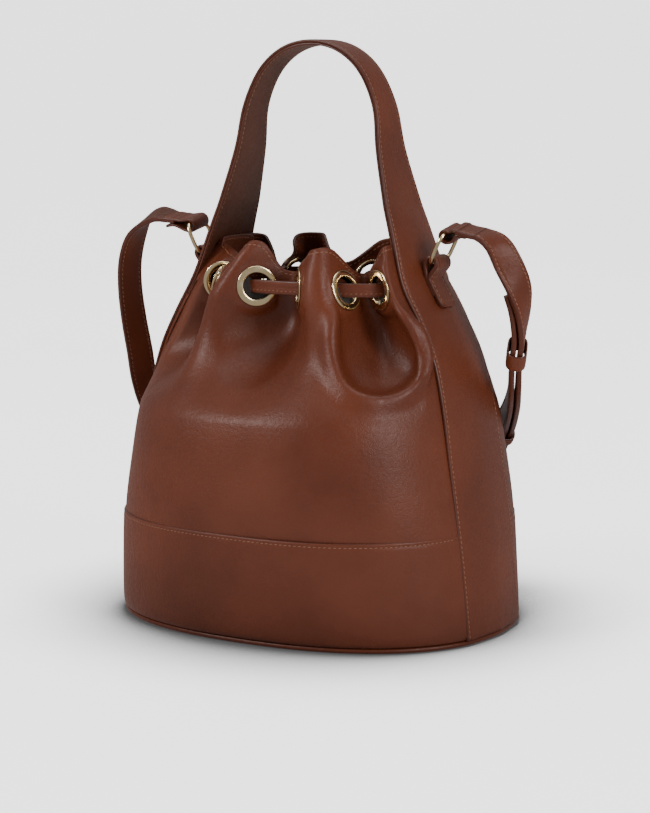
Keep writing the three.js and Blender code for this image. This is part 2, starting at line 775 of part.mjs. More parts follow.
function liningSize(z) {
  const grip = smoothstep((z - FOLD_FOOT + 20) / (FOLD_TOP - FOLD_FOOT));
  const reach = along(SEAM, "x", z) - 6;
  const depth = (along(BODY, "depth", z) - 6) * (1 - grip) + LINING_MOUTH_DEPTH * grip;
  return { reach, depth };
}

function liningRow(z, inward) {
  const { reach, depth } = liningSize(z);
  const row = [];
  for (let k = 0; k < 36; k += 1) {
    const t = (2 * Math.PI * k) / 36;
    const c = Math.cos(t);
    const s = Math.sin(t);
    const x = (reach - inward) * Math.sign(c) * Math.abs(c) ** (2 / LINING_SQUARE);
    const y = (depth - inward) * Math.sign(s) * Math.abs(s) ** (2 / LINING_SQUARE);
    row.push(new THREE.Vector3(x, y, z));
  }
  return row;
}

// A closed solid through rows of points, with a flat cap at each end.
function loft(rows) {
  const cols = rows[0].length;
  const faces = [];
  for (let r = 0; r < rows.length - 1; r += 1) {
    for (let c = 0; c < cols; c += 1) {
      const a = r * cols + c;
      const b = r * cols + ((c + 1) % cols);
      faces.push(a, b, b + cols, a, b + cols, a + cols);
    }
  }
  const last = (rows.length - 1) * cols;
  for (let c = 1; c < cols - 1; c += 1) {
    faces.push(0, c + 1, c, last, last + c, last + c + 1);
  }
  return outward(rows.flat(), faces);
}

function lining() {
  const heights = [LINING_FOOT, 60, 110, 140, 165, 190, LINING_TOP];
  const outer = loft(heights.map((z) => liningRow(z, 0)));
  const room = [LINING_FOOT + LINING, 60, 110, 140, 165, 190, LINING_TOP + 5];
  const inner = loft(room.map((z) => liningRow(z, LINING)));
  return cut(outer, [inner]);
}

// A flat inner pocket: its face is straight and its back follows the lining's back wall.
function pocket() {
  const columns = 8;
  const rows = (yAt) => [POCKET_BOTTOM, (POCKET_BOTTOM + POCKET_TOP) / 2, POCKET_TOP].map((z) => {
    const row = [];
    for (let k = 0; k <= columns; k += 1) {
      const x = -POCKET_HALF + (2 * POCKET_HALF * k) / columns;
      row.push(new THREE.Vector3(x, yAt(x, z), z));
    }
    return row;
  });
  const wall = (x, z) => {
    const { reach, depth } = liningSize(z);
    const share = (Math.abs(x) / (reach - LINING)) ** LINING_SQUARE;
    return (depth - LINING) * (1 - share) ** (1 / LINING_SQUARE) - 1.2;
  };
  return slab(rows(wall), rows(() => POCKET_FACE));
}

function block(width, depth, height, x, y, z) {
  return new THREE.BoxGeometry(width, depth, height).translate(x, y, z);
}

// ---- build --------------------------------------------------------------------------------------

const frontEyelets = EYELET_FLANKS.map((pair) => flankMiddle(FRONT_FOLDS, pair, -1));
const backEyelets = EYELET_FLANKS.map((pair) => flankMiddle(BACK_FOLDS, pair, 1));

add("base_panel", plate(BASE_INSET, BASE_THICK, 0));
add("front_base_band", baseBand(-1));
add("back_base_band", baseBand(1));

const frontGrid = clearOfSeams(panelGrid(FRONT_FOLDS, -1));
const backGrid = clearOfSeams(panelGrid(BACK_FOLDS, 1));
add("front_panel", cut(slab(frontGrid, inset(frontGrid, -1, LEATHER)), frontEyelets.flatMap(eyeletClearance)));
add("back_panel", cut(slab(backGrid, inset(backGrid, 1, LEATHER)), backEyelets.flatMap(eyeletClearance)));

[["left", -1], ["right", 1]].forEach(([name, side]) => {
  add(`gusset_${name}`, sideStrip(side, STRIP_HEIGHTS));
  add(`handle_neck_${name}`, sideStrip(side, NECK_HEIGHTS));
});
add("handle", handlePly(GAP / 2, HANDLE_PLY));
add("handle_facing", handlePly(-HANDLE_PLY, -GAP / 2), LINING_DARK);

frontEyelets.forEach((place, i) => add(`front_eyelet_${i + 1}`, eyelet(place), GOLD, 0.2, 1));
backEyelets.forEach((place, i) => add(`back_eyelet_${i + 1}`, eyelet(place), GOLD, 0.2, 1));

const string = routed(drawstringRoute(), CORD_STEPS);
add("drawstring", ribbon(string.points, string.sides, CORD_WIDTH, CORD_THICK));

// The stopper stands square to the bag's middle and holds both hanging ends.
const stopperFrame = frameAt(string, STOPPER.share);
stopperFrame.point.x = 0;
stopperFrame.side.set(1, 0, 0);
stopperFrame.tangent.x = 0;
stopperFrame.tangent.normalize();
stopperFrame.normal.crossVectors(stopperFrame.tangent, stopperFrame.side);
const stopper = loopBlock(STOPPER.width, STOPPER.thick, STOPPER.wall, STOPPER.height);
add("drawstring_stopper", onFrame(stopper, stopperFrame));

[["left", -1], ["right", 1]].forEach(([name, side]) => {
  add(`ring_tab_${name}`, ringTab(side));
  add(`ring_${name}`, wireRing(side), GOLD, 0.2, 1);
  add(`strap_fold_${name}`, strapFold(side));
});

const asRoute = (rows) => rows.map(([x, y, z, a, b, c]) => ({
  point: new THREE.Vector3(x, y, z),
  side: new THREE.Vector3(a, b, c).normalize(),
}));
const short = routed(asRoute(SHORT_ROUTE), SHORT_STEPS);
add("strap_short", ribbon(short.points, short.sides, STRAP_WIDTH, STRAP_THICK));

// The long strap's tail lies against the bag side of the short strap, from the buckle upwards.
const tail = [];
for (let share = LONG_TAIL.first; share > LONG_TAIL.last; share -= LONG_TAIL.step) {
  const { point, side, normal } = frameAt(short, share);
  tail.push({ point: point.addScaledVector(normal, -(STRAP_THICK + TAIL_GAP)), side });
}
const long = routed([...asRoute(LONG_ROUTE), ...tail], LONG_STEPS);
add("strap_long", ribbon(long.points, long.sides, STRAP_WIDTH, STRAP_THICK));

function keeper({ height, share }) {
  const bothLayers = 2 * STRAP_THICK + TAIL_GAP + KEEPER.spare;
  const betweenLayers = -(STRAP_THICK + TAIL_GAP) / 2;
  const loop = loopBlock(STRAP_WIDTH + KEEPER.spare, bothLayers, KEEPER.wall, height);
  return onFrame(loop, frameAt(short, share), betweenLayers);
}
add("keeper_sliding", keeper(SLIDING_KEEPER));
add("keeper_fixed", keeper(FIXED_KEEPER));

const buckleFrame = frameAt(short, 1);
buckleFrame.point.addScaledVector(buckleFrame.tangent, BUCKLE.ahead);
const crossBar = 2 * BUCKLE.halfWidth + BUCKLE.wire;
const bars = [
  block(crossBar, BUCKLE.wire, BUCKLE.wire, 0, BUCKLE.halfHeight, 0),
  block(crossBar, BUCKLE.wire, BUCKLE.wire, 0, -BUCKLE.halfHeight, 0),
  block(BUCKLE.wire, 2 * BUCKLE.halfHeight, BUCKLE.wire, BUCKLE.halfWidth, 0, 0),
  block(BUCKLE.wire, 2 * BUCKLE.halfHeight, BUCKLE.wire, -BUCKLE.halfWidth, 0, 0),
];
const buckle = bars.map(toSolid).reduce((sum, bar) => sum.add(bar));
add("buckle_frame", onFrame(toGeometry(buckle), buckleFrame, BUCKLE.lift), GOLD, 0.2, 1);
const prong = new THREE.CylinderGeometry(PRONG.radius, PRONG.radius, PRONG.length, 8).translate(0, -0.5, 0);
add("buckle_prong", onFrame(prong, buckleFrame, PRONG.lift), GOLD, 0.2, 1);

add("base_board", plate(BOARD_INSET, BOARD_THICK, BASE_THICK + GAP), BOARD_GREY, 0.8);
add("lining", lining(), LINING_DARK, 0.8);
add("pocket_panel", pocket(), LINING_DARK, 0.8);
const tapeFace = POCKET_FACE - GAP - ZIP_TAPE.thick;
const sliderFace = tapeFace - GAP - SLIDER.thick;
const tapeMiddle = tapeFace + ZIP_TAPE.thick / 2;
const sliderMiddle = sliderFace + SLIDER.thick / 2;
const pullMiddle = sliderFace - GAP - PULL.thick / 2;
const pullLevel = ZIP_LEVEL - PULL.drop;
const tape = block(ZIP_TAPE.width, ZIP_TAPE.thick, ZIP_TAPE.height, 0, tapeMiddle, ZIP_LEVEL);
const slider = block(SLIDER.width, SLIDER.thick, SLIDER.height, SLIDER_X, sliderMiddle, ZIP_LEVEL);
const pull = block(PULL.width, PULL.thick, PULL.height, SLIDER_X, pullMiddle, pullLevel);
add("zip_tape", tape, TAPE_DARK, 0.7);
add("zip_slider", slider, GOLD, 0.25, 1);
add("zip_pull", pull, GOLD, 0.25, 1);

export default bag;
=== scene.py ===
"""The looks of a leather bucket bag: panels, folds, stitching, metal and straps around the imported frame.

Shapes are worked out in millimetres, in the frame of the CAD part, and scaled to metres as they are made.
"""
import math

import bpy
import numpy as np
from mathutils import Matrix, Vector


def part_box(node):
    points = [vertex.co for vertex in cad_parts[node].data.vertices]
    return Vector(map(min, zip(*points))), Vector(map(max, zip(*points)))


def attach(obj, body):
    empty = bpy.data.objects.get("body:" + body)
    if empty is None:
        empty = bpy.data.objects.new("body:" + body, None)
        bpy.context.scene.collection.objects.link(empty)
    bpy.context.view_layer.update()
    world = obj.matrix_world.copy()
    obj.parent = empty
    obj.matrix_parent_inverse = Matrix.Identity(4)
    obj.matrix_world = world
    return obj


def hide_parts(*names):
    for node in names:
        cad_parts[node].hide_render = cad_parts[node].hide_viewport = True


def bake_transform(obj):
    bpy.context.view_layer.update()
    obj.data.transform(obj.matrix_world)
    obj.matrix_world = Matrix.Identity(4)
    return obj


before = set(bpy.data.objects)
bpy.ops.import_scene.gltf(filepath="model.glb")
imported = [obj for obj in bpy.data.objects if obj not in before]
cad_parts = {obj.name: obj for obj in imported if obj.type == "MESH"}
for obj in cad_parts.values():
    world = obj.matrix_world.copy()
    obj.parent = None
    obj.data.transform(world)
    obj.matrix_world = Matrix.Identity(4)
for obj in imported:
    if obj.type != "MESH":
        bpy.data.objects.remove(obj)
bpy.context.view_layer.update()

MM = 0.001
BAG = "bag"
UP = np.array([0.0, 0.0, 1.0])

# ---- the CAD part's driving dimensions, in millimetres ----

LEATHER = 2.2
BAND_TOP = 76.0
BAND_FOOT = 3.7
MOUTH_Z = 237.0
FOLD_TOP = 222.0
FOLD_FOOT = 150.0
MOUTH_LEAN = 0.0034

# Side seams: height, distance from the middle, half the strip's width, how far the strip bows out.
SEAM = np.array([
    [0, 138.8, 38.5, 5.6],
    [40, 135, 39, 4.6],
    [76, 130.8, 39.3, 3.6],
    [120, 124, 38.4, 3.8],
    [160, 117.5, 37, 4.4],
    [190, 109.5, 35, 5.4],
    [215, 97.5, 33.4, 6.6],
    [240, 83.5, 32.4, 7],
    [270, 74, 27.6, 4],
    [300, 64.3, 22.8, 1.2],
])
# The smooth body: height, how far its middle stands out, how square its outline is.
BODY = np.array([
    [0, 110.7, 2.3],
    [76, 118.6, 2.5],
    [110, 120, 2.45],
    [150, 115, 2.4],
    [190, 97, 2.3],
    [225, 80, 2.2],
])
# The handle's middle line: distance from the middle, height, half its width.
ARCH = np.array([
    [67.3, 290.4, 24.4],
    [57.3, 330, 17.8],
    [52.3, 360, 14.2],
    [39.3, 385, 13],
    [21.5, 398.6, 12.7],
    [0, 403, 12.7],
])
# Corners of the mouth's folds from the left seam to the right: across and outwards at the level of
# the drawstring, then the height of the rim there and how far it leans across and outwards.
FRONT_FOLDS = [
    (-70, 43, 259, 2, -27), (-46, 26, 247, 2, -6), (-47, 70, 264, 15, -21), (-36, 74, 269, 13, -19),
    (3, 38, 246, 0, -2), (33, 77, 265, 3, -11), (48, 73, 267, -1, -11), (55, 30, 246, 0, -2),
    (85, 48, 268, -3, -11),
]
BACK_FOLDS = [
    (-79, 46, 266, 3, -10), (-53, 27, 241, 8, -2), (-45, 60, 266, -9, -7), (-35, 61, 267, 4, -9),
    (-1, 31, 247, 0, -2), (33, 61, 265, -1, -9), (43, 60, 264, -3, -8), (55, 27, 249, 0, -2),
    (81, 46, 266, -4, -9),
]
# Round pockets below the front's eyelets: share of the width, height, half sizes, depth, the lip's
# height and how flat the bowl is.
FRONT_POCKETS = [(0.834, 204, (44, 38), 4.5, 6.5, 3), (0.47, 206, (38, 36), 4.0, 0.3, 1.6)]
PANEL_WIDTH = 330
PANEL_TUCK = 5
FOLD_PEAK = 275
POCKET_SPAN = 320
SEAM_TOP = 267.0
LEG_TOP = 286
HANDLE_FACING_FOOT = 226
SEAM_LEAN = -16.0
EYELET_FLANKS = [(0, 1), (1, 2), (3, 4), (4, 5), (6, 7), (7, 8)]
EYELET_OUTER = 14.0
EYELET_HOLE = 9.2
EYELET_PUNCH = 10.6
FLAT_RADIUS = 13.8
FLAT_BESIDE = 14.2

RING_FOOT = np.array([93.2, 0, 252.6])
RING_LEAN = 0.44
RING_UP = np.array([RING_LEAN, 0, math.sqrt(1 - RING_LEAN**2)])
RING_HALF_WIDTH = 13.0
RING_HALF_HEIGHT = 12.4
RING_WIRE = 1.4
RING_SQUARE = 3.2
LOOP_HOLE = 3.4
LOOP_RISE = 0.8
TAB_FOOT = 224.0
TAB_HALF = 10.3
FACING_REACH = (-17.0, 22.0)
FACING_DROP = 19.6
FACING_HALF = 20.5

STRAP_WIDTH = 20.0
STRAP_THICK = 3.6
STRAP_TILT = 0.2
STITCH_INSET = 2.5
STITCH_SINK = 0.15
STRIP_MARGIN = 0.6
STRIP_FACE = 1.4
STRIP_BACK = -0.7
STRAP_START = np.array([126.0, 0, 274.6])
# The strap's root at each ring: how far out it starts, its height there and where it meets the strap.
ROOTS = {1: (112.0, 277.6, STRAP_START[2]), -1: (117.0, 276.6, 277.6)}
TAIL_GAP = 1.4
LONG_TAIL_SHARE = 0.36
SHORT_STEPS = 34

# The shoulder strap's routes: each point, then the direction of the strap's width there.
SHORT_ROUTE = [
    (126.5, 0, 274.6, 0, 0.97, 0.2),
    (131, 0.4, 272.6, 0.05, 0.96, 0.26),
    (138, 3.2, 266.5, 0.36, 0.85, 0.38),
    (144, 7, 254, 0.6, 0.65, 0.45),
    (149.5, 12, 238, 0.4, 0.85, 0.25),
    (150, 18, 223, 0, 0.97, 0.2),
    (147, 24, 204, -0.35, 0.92, 0.2),
    (142, 30, 188, -0.42, 0.88, 0.22),
    (134, 45, 169, -0.45, 0.85, 0.28),
    (119, 73, 150, -0.44, 0.78, 0.42),
    (99, 103, 131, -0.5, 0.58, 0.6),
    (84, 119, 114, -0.5, 0.42, 0.74),
]
LONG_ROUTE = [
    (-126.3, 0, 277.6, 0, 0.97, 0.22),
    (-131, 0.2, 278.4, -0.03, 0.95, 0.3),
    (-139, 1, 278.4, -0.1, 0.89, 0.4),
    (-150, 2, 273.5, -0.05, 0.92, 0.35),
    (-160, 4, 262, 0.2, 0.95, 0.15),
    (-167, 6, 244, 0.3, 0.95, 0),
    (-169, 8, 224, 0.36, 0.93, 0),
    (-168, 11, 200, 0.46, 0.88, 0),
    (-166, 15, 176, 0.55, 0.83, 0.05),
    (-166, 21, 153, 0.58, 0.8, 0.15),
    (-165, 33, 129, 0.55, 0.8, 0.25),
    (-157, 52, 105, 0.45, 0.82, 0.35),
    (-139, 76, 82, 0.3, 0.85, 0.42),
    (-111, 102, 60, 0.15, 0.9, 0.4),
    (-76, 124, 43, 0.05, 0.95, 0.3),
    (-36, 135, 33, 0, 0.98, 0.2),
    (5, 137, 33, 0, 0.98, 0.2),
    (43, 135, 45, -0.1, 0.95, 0.3),
    (62, 133, 66, -0.3, 0.8, 0.5),
    (72, 126, 92, -0.45, 0.55, 0.68),
]
# The drawstring, and one hanging end of it: how far back and how high.
STRING_WIDTH = 9.5
STRING_THICK = 2.6
STRING_TAIL_X = 5.6
STRING_TAIL = [
    (124.5, 118), (124, 132), (121, 146), (112.5, 162), (100, 176), (86, 190), (72, 203), (59, 218),
]

STOPPER_HALF = (12.1, 3.2)
STOPPER_HEIGHT = 15
STOPPER_SLOPE = (-0.695, 0.719)
KEEPER_ROOM = (2, 1.9)
BUCKLE_HALF = (13.6, 12)
BUCKLE_WIRE = 1.35
BUCKLE_AHEAD = 14.2
PRONG_WIRE = 1.1

# ---- camera ----

CAMERA_PLACE = (0.822, -1.371, 0.3888)
CAMERA_AIM = (-0.5064, 0.8493, -0.1492)
CAMERA_LENS = 101.1
SENSOR_WIDTH = 36


def make_camera():
    """A camera to the bag's front right, about as high as its handle, looking slightly down."""
    camera = bpy.data.objects.new("camera", bpy.data.cameras.new("camera"))
    bpy.context.collection.objects.link(camera)
    camera.location = CAMERA_PLACE
    camera.rotation_euler = Vector(CAMERA_AIM).to_track_quat("-Z", "Y").to_euler()
    camera.data.lens = CAMERA_LENS
    camera.data.sensor_width = SENSOR_WIDTH
    bpy.context.scene.camera = camera


# ---- materials ----

WAVE_TURN = 6.28


class Nodes:
    """A thin helper that adds and links shader nodes."""

    def __init__(self, name):
        self.material = bpy.data.materials.new(name)
        self.material.use_nodes = True
        self.tree = self.material.node_tree
        self.shader = self.tree.nodes["Principled BSDF"]
        self.place = self.tree.nodes.new("ShaderNodeTexCoord").outputs["Object"]

    def add(self, kind, **values):
        node = self.tree.nodes.new(kind)
        for key, value in values.items():
            if key in node.inputs:
                node.inputs[key].default_value = value
            else:
                setattr(node, key, value)
        return node

    def link(self, out, socket):
        self.tree.links.new(out, socket)

    def noise(self, scale, detail=3.0, stretch=None):
        node = self.add("ShaderNodeTexNoise", Scale=scale, Detail=detail)
        place = self.place
        if stretch:
            mapping = self.add("ShaderNodeMapping", Scale=stretch)
            self.link(place, mapping.inputs["Vector"])
            place = mapping.outputs["Vector"]
        self.link(place, node.inputs["Vector"])
        return node.outputs["Fac"]

    def cells(self, scale):
        node = self.add("ShaderNodeTexVoronoi", Scale=scale)
        self.link(self.place, node.inputs["Vector"])
        return node.outputs["Distance"]

    def ramp(self, value, low, high, start=0.3, end=0.7):
        limits = {"From Min": start, "From Max": end, "To Min": low, "To Max": high}
        node = self.add("ShaderNodeMapRange", **limits)
        self.link(value, node.inputs["Value"])
        return node.outputs["Result"]

    def blend_colours(self, value, first, second, start=0.3, end=0.7):
        node = self.add("ShaderNodeValToRGB")
        node.color_ramp.elements[0].position = start
        node.color_ramp.elements[1].position = end
        node.color_ramp.elements[0].color = (*first, 1)
        node.color_ramp.elements[1].color = (*second, 1)
        self.link(value, node.inputs["Fac"])
        return node.outputs["Color"]

    def bump(self, height, distance, strength=1.0, after=None):
        node = self.add("ShaderNodeBump", Strength=strength, Distance=distance)
        self.link(height, node.inputs["Height"])
        if after:
            self.link(after, node.inputs["Normal"])
        return node.outputs["Normal"]

    def feed(self, **outputs):
        for key, out in outputs.items():
            self.link(out, self.shader.inputs[key.replace("_", " ")])

    def set(self, **values):
        for key, value in values.items():
            self.shader.inputs[key.replace("_", " ")].default_value = value


def leather(name, deep, light, rough=(0.34, 0.47), grain=1.0, coat=0.0):
    """Smooth aniline-dyed leather: slow colour drift, fine pebbled grain and faint creases."""
    n = Nodes(name)
    drift = n.noise(14.0, 4.0)
    pores = n.noise(420.0, 5.0)
    creases = n.bump(n.noise(90.0, 6.0, (1.0, 1.0, 0.5)), 0.0009 * grain, 0.4)
    pebble = n.bump(n.cells(1150.0), 0.0002 * grain, 0.5, creases)
    n.feed(Base_Color=n.blend_colours(drift, deep, light), Roughness=n.ramp(pores, *rough),
           Normal=n.bump(pores, 0.0004 * grain, 0.6, pebble))
    n.set(Coat_Weight=coat, Coat_Roughness=0.3, Specular_IOR_Level=0.24)
    return n.material


def polished_gold():
    """Pale gold plating, a little smudged."""
    n = Nodes("polished_gold")
    smudge = n.noise(160.0)
    n.feed(Base_Color=n.blend_colours(smudge, (0.86, 0.66, 0.36), (0.93, 0.76, 0.48)),
           Roughness=n.ramp(smudge, 0.1, 0.2), Normal=n.bump(n.noise(900.0, 2.0), 0.00002, 0.3))
    n.set(Metallic=1.0)
    return n.material


def woven(name, dark, light, pitch=2600.0):
    """A plain weave: two crossed sets of threads."""
    n = Nodes(name)
    threads = []
    for direction in ("X", "Z"):
        wave = n.add("ShaderNodeTexWave", Scale=pitch / WAVE_TURN, Distortion=0.4, bands_direction=direction)
        n.link(n.place, wave.inputs["Vector"])
        threads.append(wave.outputs["Fac"])
    cross = n.add("ShaderNodeMath", operation="MULTIPLY")
    n.link(threads[0], cross.inputs[0])
    n.link(threads[1], cross.inputs[1])
    weave = cross.outputs[0]
    n.feed(Base_Color=n.blend_colours(weave, dark, light, 0.1, 0.8),
           Roughness=n.ramp(n.noise(60.0), 0.75, 0.9), Normal=n.bump(weave, 0.0002, 0.5))
    n.set(Sheen_Weight=0.2, Sheen_Roughness=0.5)
    return n.material


def thread():
    """Waxed brown sewing thread."""
    n = Nodes("thread")
    strand = n.noise(1800.0, 2.0)
    n.feed(Base_Color=n.blend_colours(strand, (0.115, 0.043, 0.021), (0.2, 0.085, 0.043)),
           Roughness=n.ramp(strand, 0.5, 0.7), Normal=n.bump(strand, 0.0001, 0.5))
    return n.material


def backdrop_paper():
    """White glowing paper with a painted contact shadow: its colour and glow darken where the bag stands
    close over it.
    """
    n = Nodes("backdrop_paper")
    # Ambient occlusion under and beside the bag drives a painted contact shadow on the floor.
    painted_shadow_openness = n.add("ShaderNodeAmbientOcclusion", samples=16, Distance=0.13).outputs["AO"]
    painted_shadow_colour = n.blend_colours(painted_shadow_openness, (0.03, 0.03, 0.03), (0.73, 0.73, 0.735), 0.5, 0.9)
    glow = n.blend_colours(n.noise(3.0, 2.0), (0.95, 0.95, 0.955), (1.0, 1.0, 1.0))
    # The painted shadow darkens both the paper's colour and its glow near the bag.
    n.feed(Base_Color=painted_shadow_colour, Emission_Color=glow,
           Emission_Strength=n.ramp(painted_shadow_openness, 0.05, 1.55, 0.58, 0.98))
    n.set(Roughness=0.9)
    return n.material


def make_materials():
    """Every material by the name that the makers below call it."""
    brown = leather("brown_leather", (0.06, 0.0125, 0.0046), (0.086, 0.0195, 0.0074))
    inside = leather("leather_inside", (0.042, 0.0125, 0.006), (0.066, 0.021, 0.0105), (0.45, 0.6), 1.2)
    edge = leather("edge_paint", (0.04, 0.009, 0.004), (0.062, 0.0145, 0.0065), (0.3, 0.42), 0.6, 0.2)
    return {
        "leather": brown,
        "inside": inside,
        "edge": edge,
        "gold": polished_gold(),
        "lining": woven("dark_lining", (0.006, 0.004, 0.004), (0.022, 0.016, 0.014)),
        "tape": woven("zip_tape", (0.008, 0.006, 0.005), (0.03, 0.022, 0.02), 3400.0),
        "board": woven("stiffener", (0.2, 0.17, 0.13), (0.3, 0.26, 0.2), 900.0),
        "thread": thread(),
        "paper": backdrop_paper(),
    }


def plies(look, back="leather"):
    """A strip's materials: its face, its painted edge and its back."""
    return [look["leather"], look["edge"], look[back]]


# ---- mesh helpers ----

EDGE_ROUND = 0.9


def make_object(name, points, faces, materials, face_materials=None):
    """Makes a smooth-shaded object from points in millimetres."""
    mesh = bpy.data.meshes.new(name)
    mesh.from_pydata([tuple(p) for p in np.asarray(points) * MM], [], [tuple(f) for f in faces])
    for material in materials:
        mesh.materials.append(material)
    mesh.polygons.foreach_set("use_smooth", [True] * len(mesh.polygons))
    if face_materials is not None:
        mesh.polygons.foreach_set("material_index", [int(i) for i in face_materials])
    mesh.update()
    piece = bpy.data.objects.new(name, mesh)
    bpy.context.collection.objects.link(piece)
    return piece


def along(stations, column, height):
    """A smooth value read off a table of stations at one or many heights."""
    z, v = stations[:, 0], stations[:, column]
    slope = np.empty_like(v)
    slope[1:-1] = (v[2:] - v[:-2]) / (z[2:] - z[:-2])
    slope[0] = (v[1] - v[0]) / (z[1] - z[0])
    slope[-1] = (v[-1] - v[-2]) / (z[-1] - z[-2])
    height = np.asarray(height, float)
    i = np.clip(np.searchsorted(z, height, side="left") - 1, 0, len(z) - 2)
    span = z[i + 1] - z[i]
    t = np.clip((height - z[i]) / span, 0, 1)
    from_low = (2 * t**3 - 3 * t**2 + 1) * v[i] + (t**3 - 2 * t**2 + t) * span * slope[i]
    from_high = (3 * t**2 - 2 * t**3) * v[i + 1] + (t**3 - t**2) * span * slope[i + 1]
    return from_low + from_high


def quads(rows, columns, ring=False, loop=False):
    """The faces of a grid of points, which may close on itself across (ring) or along (loop)."""
    faces = []
    for r in range(rows if loop else rows - 1):
        here, ahead = r * columns, (r + 1) % rows * columns
        for c in range(columns if ring else columns - 1):
            beside = (c + 1) % columns
            faces.append((here + c, here + beside, ahead + beside, ahead + c))
    return faces


def smoothstep(t):
    """Eases from 0 to 1."""
    t = np.clip(t, 0, 1)
    return t * t * (3 - 2 * t)


def reaches(line):
    """How far along a line each of its points lies."""
    return np.concatenate([[0], np.cumsum(np.linalg.norm(np.diff(line, axis=0), axis=1))])


def read_off(values, reach, want):
    """Rows of values known at some reaches, read off at others."""
    return np.stack([np.interp(want, reach, column) for column in values.T], 1)


def spaced(line, count):
    """Points spaced evenly by plan length along a line; further columns go along with them."""
    line = np.asarray(line, float)
    reach = reaches(line[:, :2])
    return read_off(line, reach, np.linspace(0, reach[-1], count + 1))


def catmull(points, count):
    """A centripetal Catmull-Rom curve through the points, evenly spaced in its own parameter."""
    points = np.asarray(points, float)
    ends = [2 * points[0] - points[1], *points, 2 * points[-1] - points[-2]]
    result = []
    for k in range(count + 1):
        u = k / count * (len(points) - 1)
        i = min(int(u), len(points) - 2)
        a, b, c, d = ends[i], ends[i + 1], ends[i + 2], ends[i + 3]
        knots = [0.0]
        for first, second in ((a, b), (b, c), (c, d)):
            gap = np.linalg.norm((second - first)[:3])
            knots.append(knots[-1] + max(gap, 1e-6) ** 0.5)
        t = knots[1] + (u - i) * (knots[2] - knots[1])
        ab = mix(a, b, knots[0], knots[1], t)
        bc = mix(b, c, knots[1], knots[2], t)
        cd = mix(c, d, knots[2], knots[3], t)
        result.append(mix(mix(ab, bc, knots[0], knots[2], t), mix(bc, cd, knots[1], knots[3], t),
                          knots[1], knots[2], t))
    return np.array(result)


def mix(first, second, start, end, t):
    """Goes from the first point to the second as t goes from start to end."""
    share = (t - start) / (end - start)
    return first * (1 - share) + second * share


def unit(vectors):
    """Vectors scaled to a length of 1."""
    return vectors / np.maximum(np.linalg.norm(vectors, axis=-1, keepdims=True), 1e-9)


def frames(points, sides):
    """Directions along, across and out of a ribbon."""
    tangents = unit(np.gradient(points, axis=0))
    across = unit(sides - (sides * tangents).sum(1, keepdims=True) * tangents)
    return tangents, across, np.cross(tangents, across)


def strip_section(groove):
    """A leather strip's upper face from its edge inwards: distance from the edge, then height change."""
    rows = [(EDGE_ROUND * (1 - math.cos(a)), -EDGE_ROUND * (1 - math.sin(a)))
            for a in np.linspace(0.15, math.pi / 2, 4)]
    if groove:
        rows += [(1.9, 0.0), (2.5, -0.3), (3.1, 0.0)]
    return rows + [(4.4, 0.08)]


def sweep(name, points, across, normals, halves, top, bottom, materials, bow=0.0, groove=True, loop=False):
    """A strip with rounded, painted edges. top and bottom are its faces' heights along the normals."""
    rows = len(points)
    halves = np.broadcast_to(halves, rows)
    bow = np.broadcast_to(bow, rows)
    upper, lower = strip_section(groove), strip_section(False)
    ring = [(-1, edge, top, height) for edge, height in upper]
    ring += [(0, 0, top, 0.1)]
    ring += [(1, edge, top, height) for edge, height in reversed(upper)]
    back_start = len(ring)
    ring += [(1, edge, bottom, -height) for edge, height in lower]
    ring += [(0, 0, bottom, 0)]
    ring += [(-1, edge, bottom, -height) for edge, height in reversed(lower)]
    count = len(ring)
    paint = []
    for j, (sign, edge, _, _) in enumerate(ring):
        next_sign, next_edge, _, _ = ring[(j + 1) % count]
        at_edge = sign * next_sign > 0 and max(edge, next_edge) < EDGE_ROUND + 0.05
        paint.append(1 if at_edge else (2 if j >= back_start else 0))
    verts = np.empty((rows, count, 3))
    for j, (sign, edge, level, height) in enumerate(ring):
        offset = sign * np.maximum(halves - edge, 0)
        lift = bow * (1 - (offset / halves) ** 2) + level + height
        verts[:, j] = points + across * offset[:, None] + normals * lift[:, None]
    faces = quads(rows, count, ring=True, loop=loop)
    face_materials = paint * (len(faces) // count)
    if not loop:
        faces += [tuple(reversed(range(count))), tuple(range((rows - 1) * count, rows * count))]
        face_materials += [1, 1]
    return make_object(name, verts.reshape(-1, 3), faces, materials, face_materials)


def stitches(name, path, normals, material, pitch=3.4, length=2.5, width=0.34):
    """A row of short slanted stitches lying along a path."""
    path = np.asarray(path, float)
    reach = reaches(path)
    want = np.arange(pitch / 2, reach[-1], pitch)
    centre = read_off(path, reach, want)
    out = unit(read_off(normals, reach, want))
    ahead = unit(read_off(unit(np.gradient(path, axis=0)), reach, want))
    slant = math.radians(9)
    run = ahead * math.cos(slant) + np.cross(out, ahead) * math.sin(slant)
    beside = np.cross(out, run)
    stations = [(-0.5, 0.25), (-0.36, 0.85), (0, 1), (0.36, 0.85), (0.5, 0.25)]
    sides = 6
    last = (len(stations) - 1) * sides
    stitch = quads(len(stations), sides, ring=True)
    stitch += [tuple(reversed(range(sides))), tuple(range(last, last + sides))]
    points, faces = [], []
    for c, t, b, n in zip(centre, run, beside, out):
        base = len(points)
        for share, size in stations:
            sink = -0.5 * width * (abs(share) * 2) ** 2
            for j in range(sides):
                turn = 2 * math.pi * j / sides
                ring = b * math.cos(turn) + n * math.sin(turn)
                points.append(c + t * share * length + ring * width * size + n * sink)
        faces += [tuple(base + i for i in face) for face in stitch]
    return make_object(name, points, faces, [material])


def edge_stitches(name, points, across, normals, inset, lift, look):
    """A row of stitches along each edge of a strip's face."""
    return [stitches(f"{name}_{edge}_stitches", points + across * sign * inset + normals * lift, normals,
                     look["thread"])
            for sign, edge in ((-1, "near"), (1, "far"))]


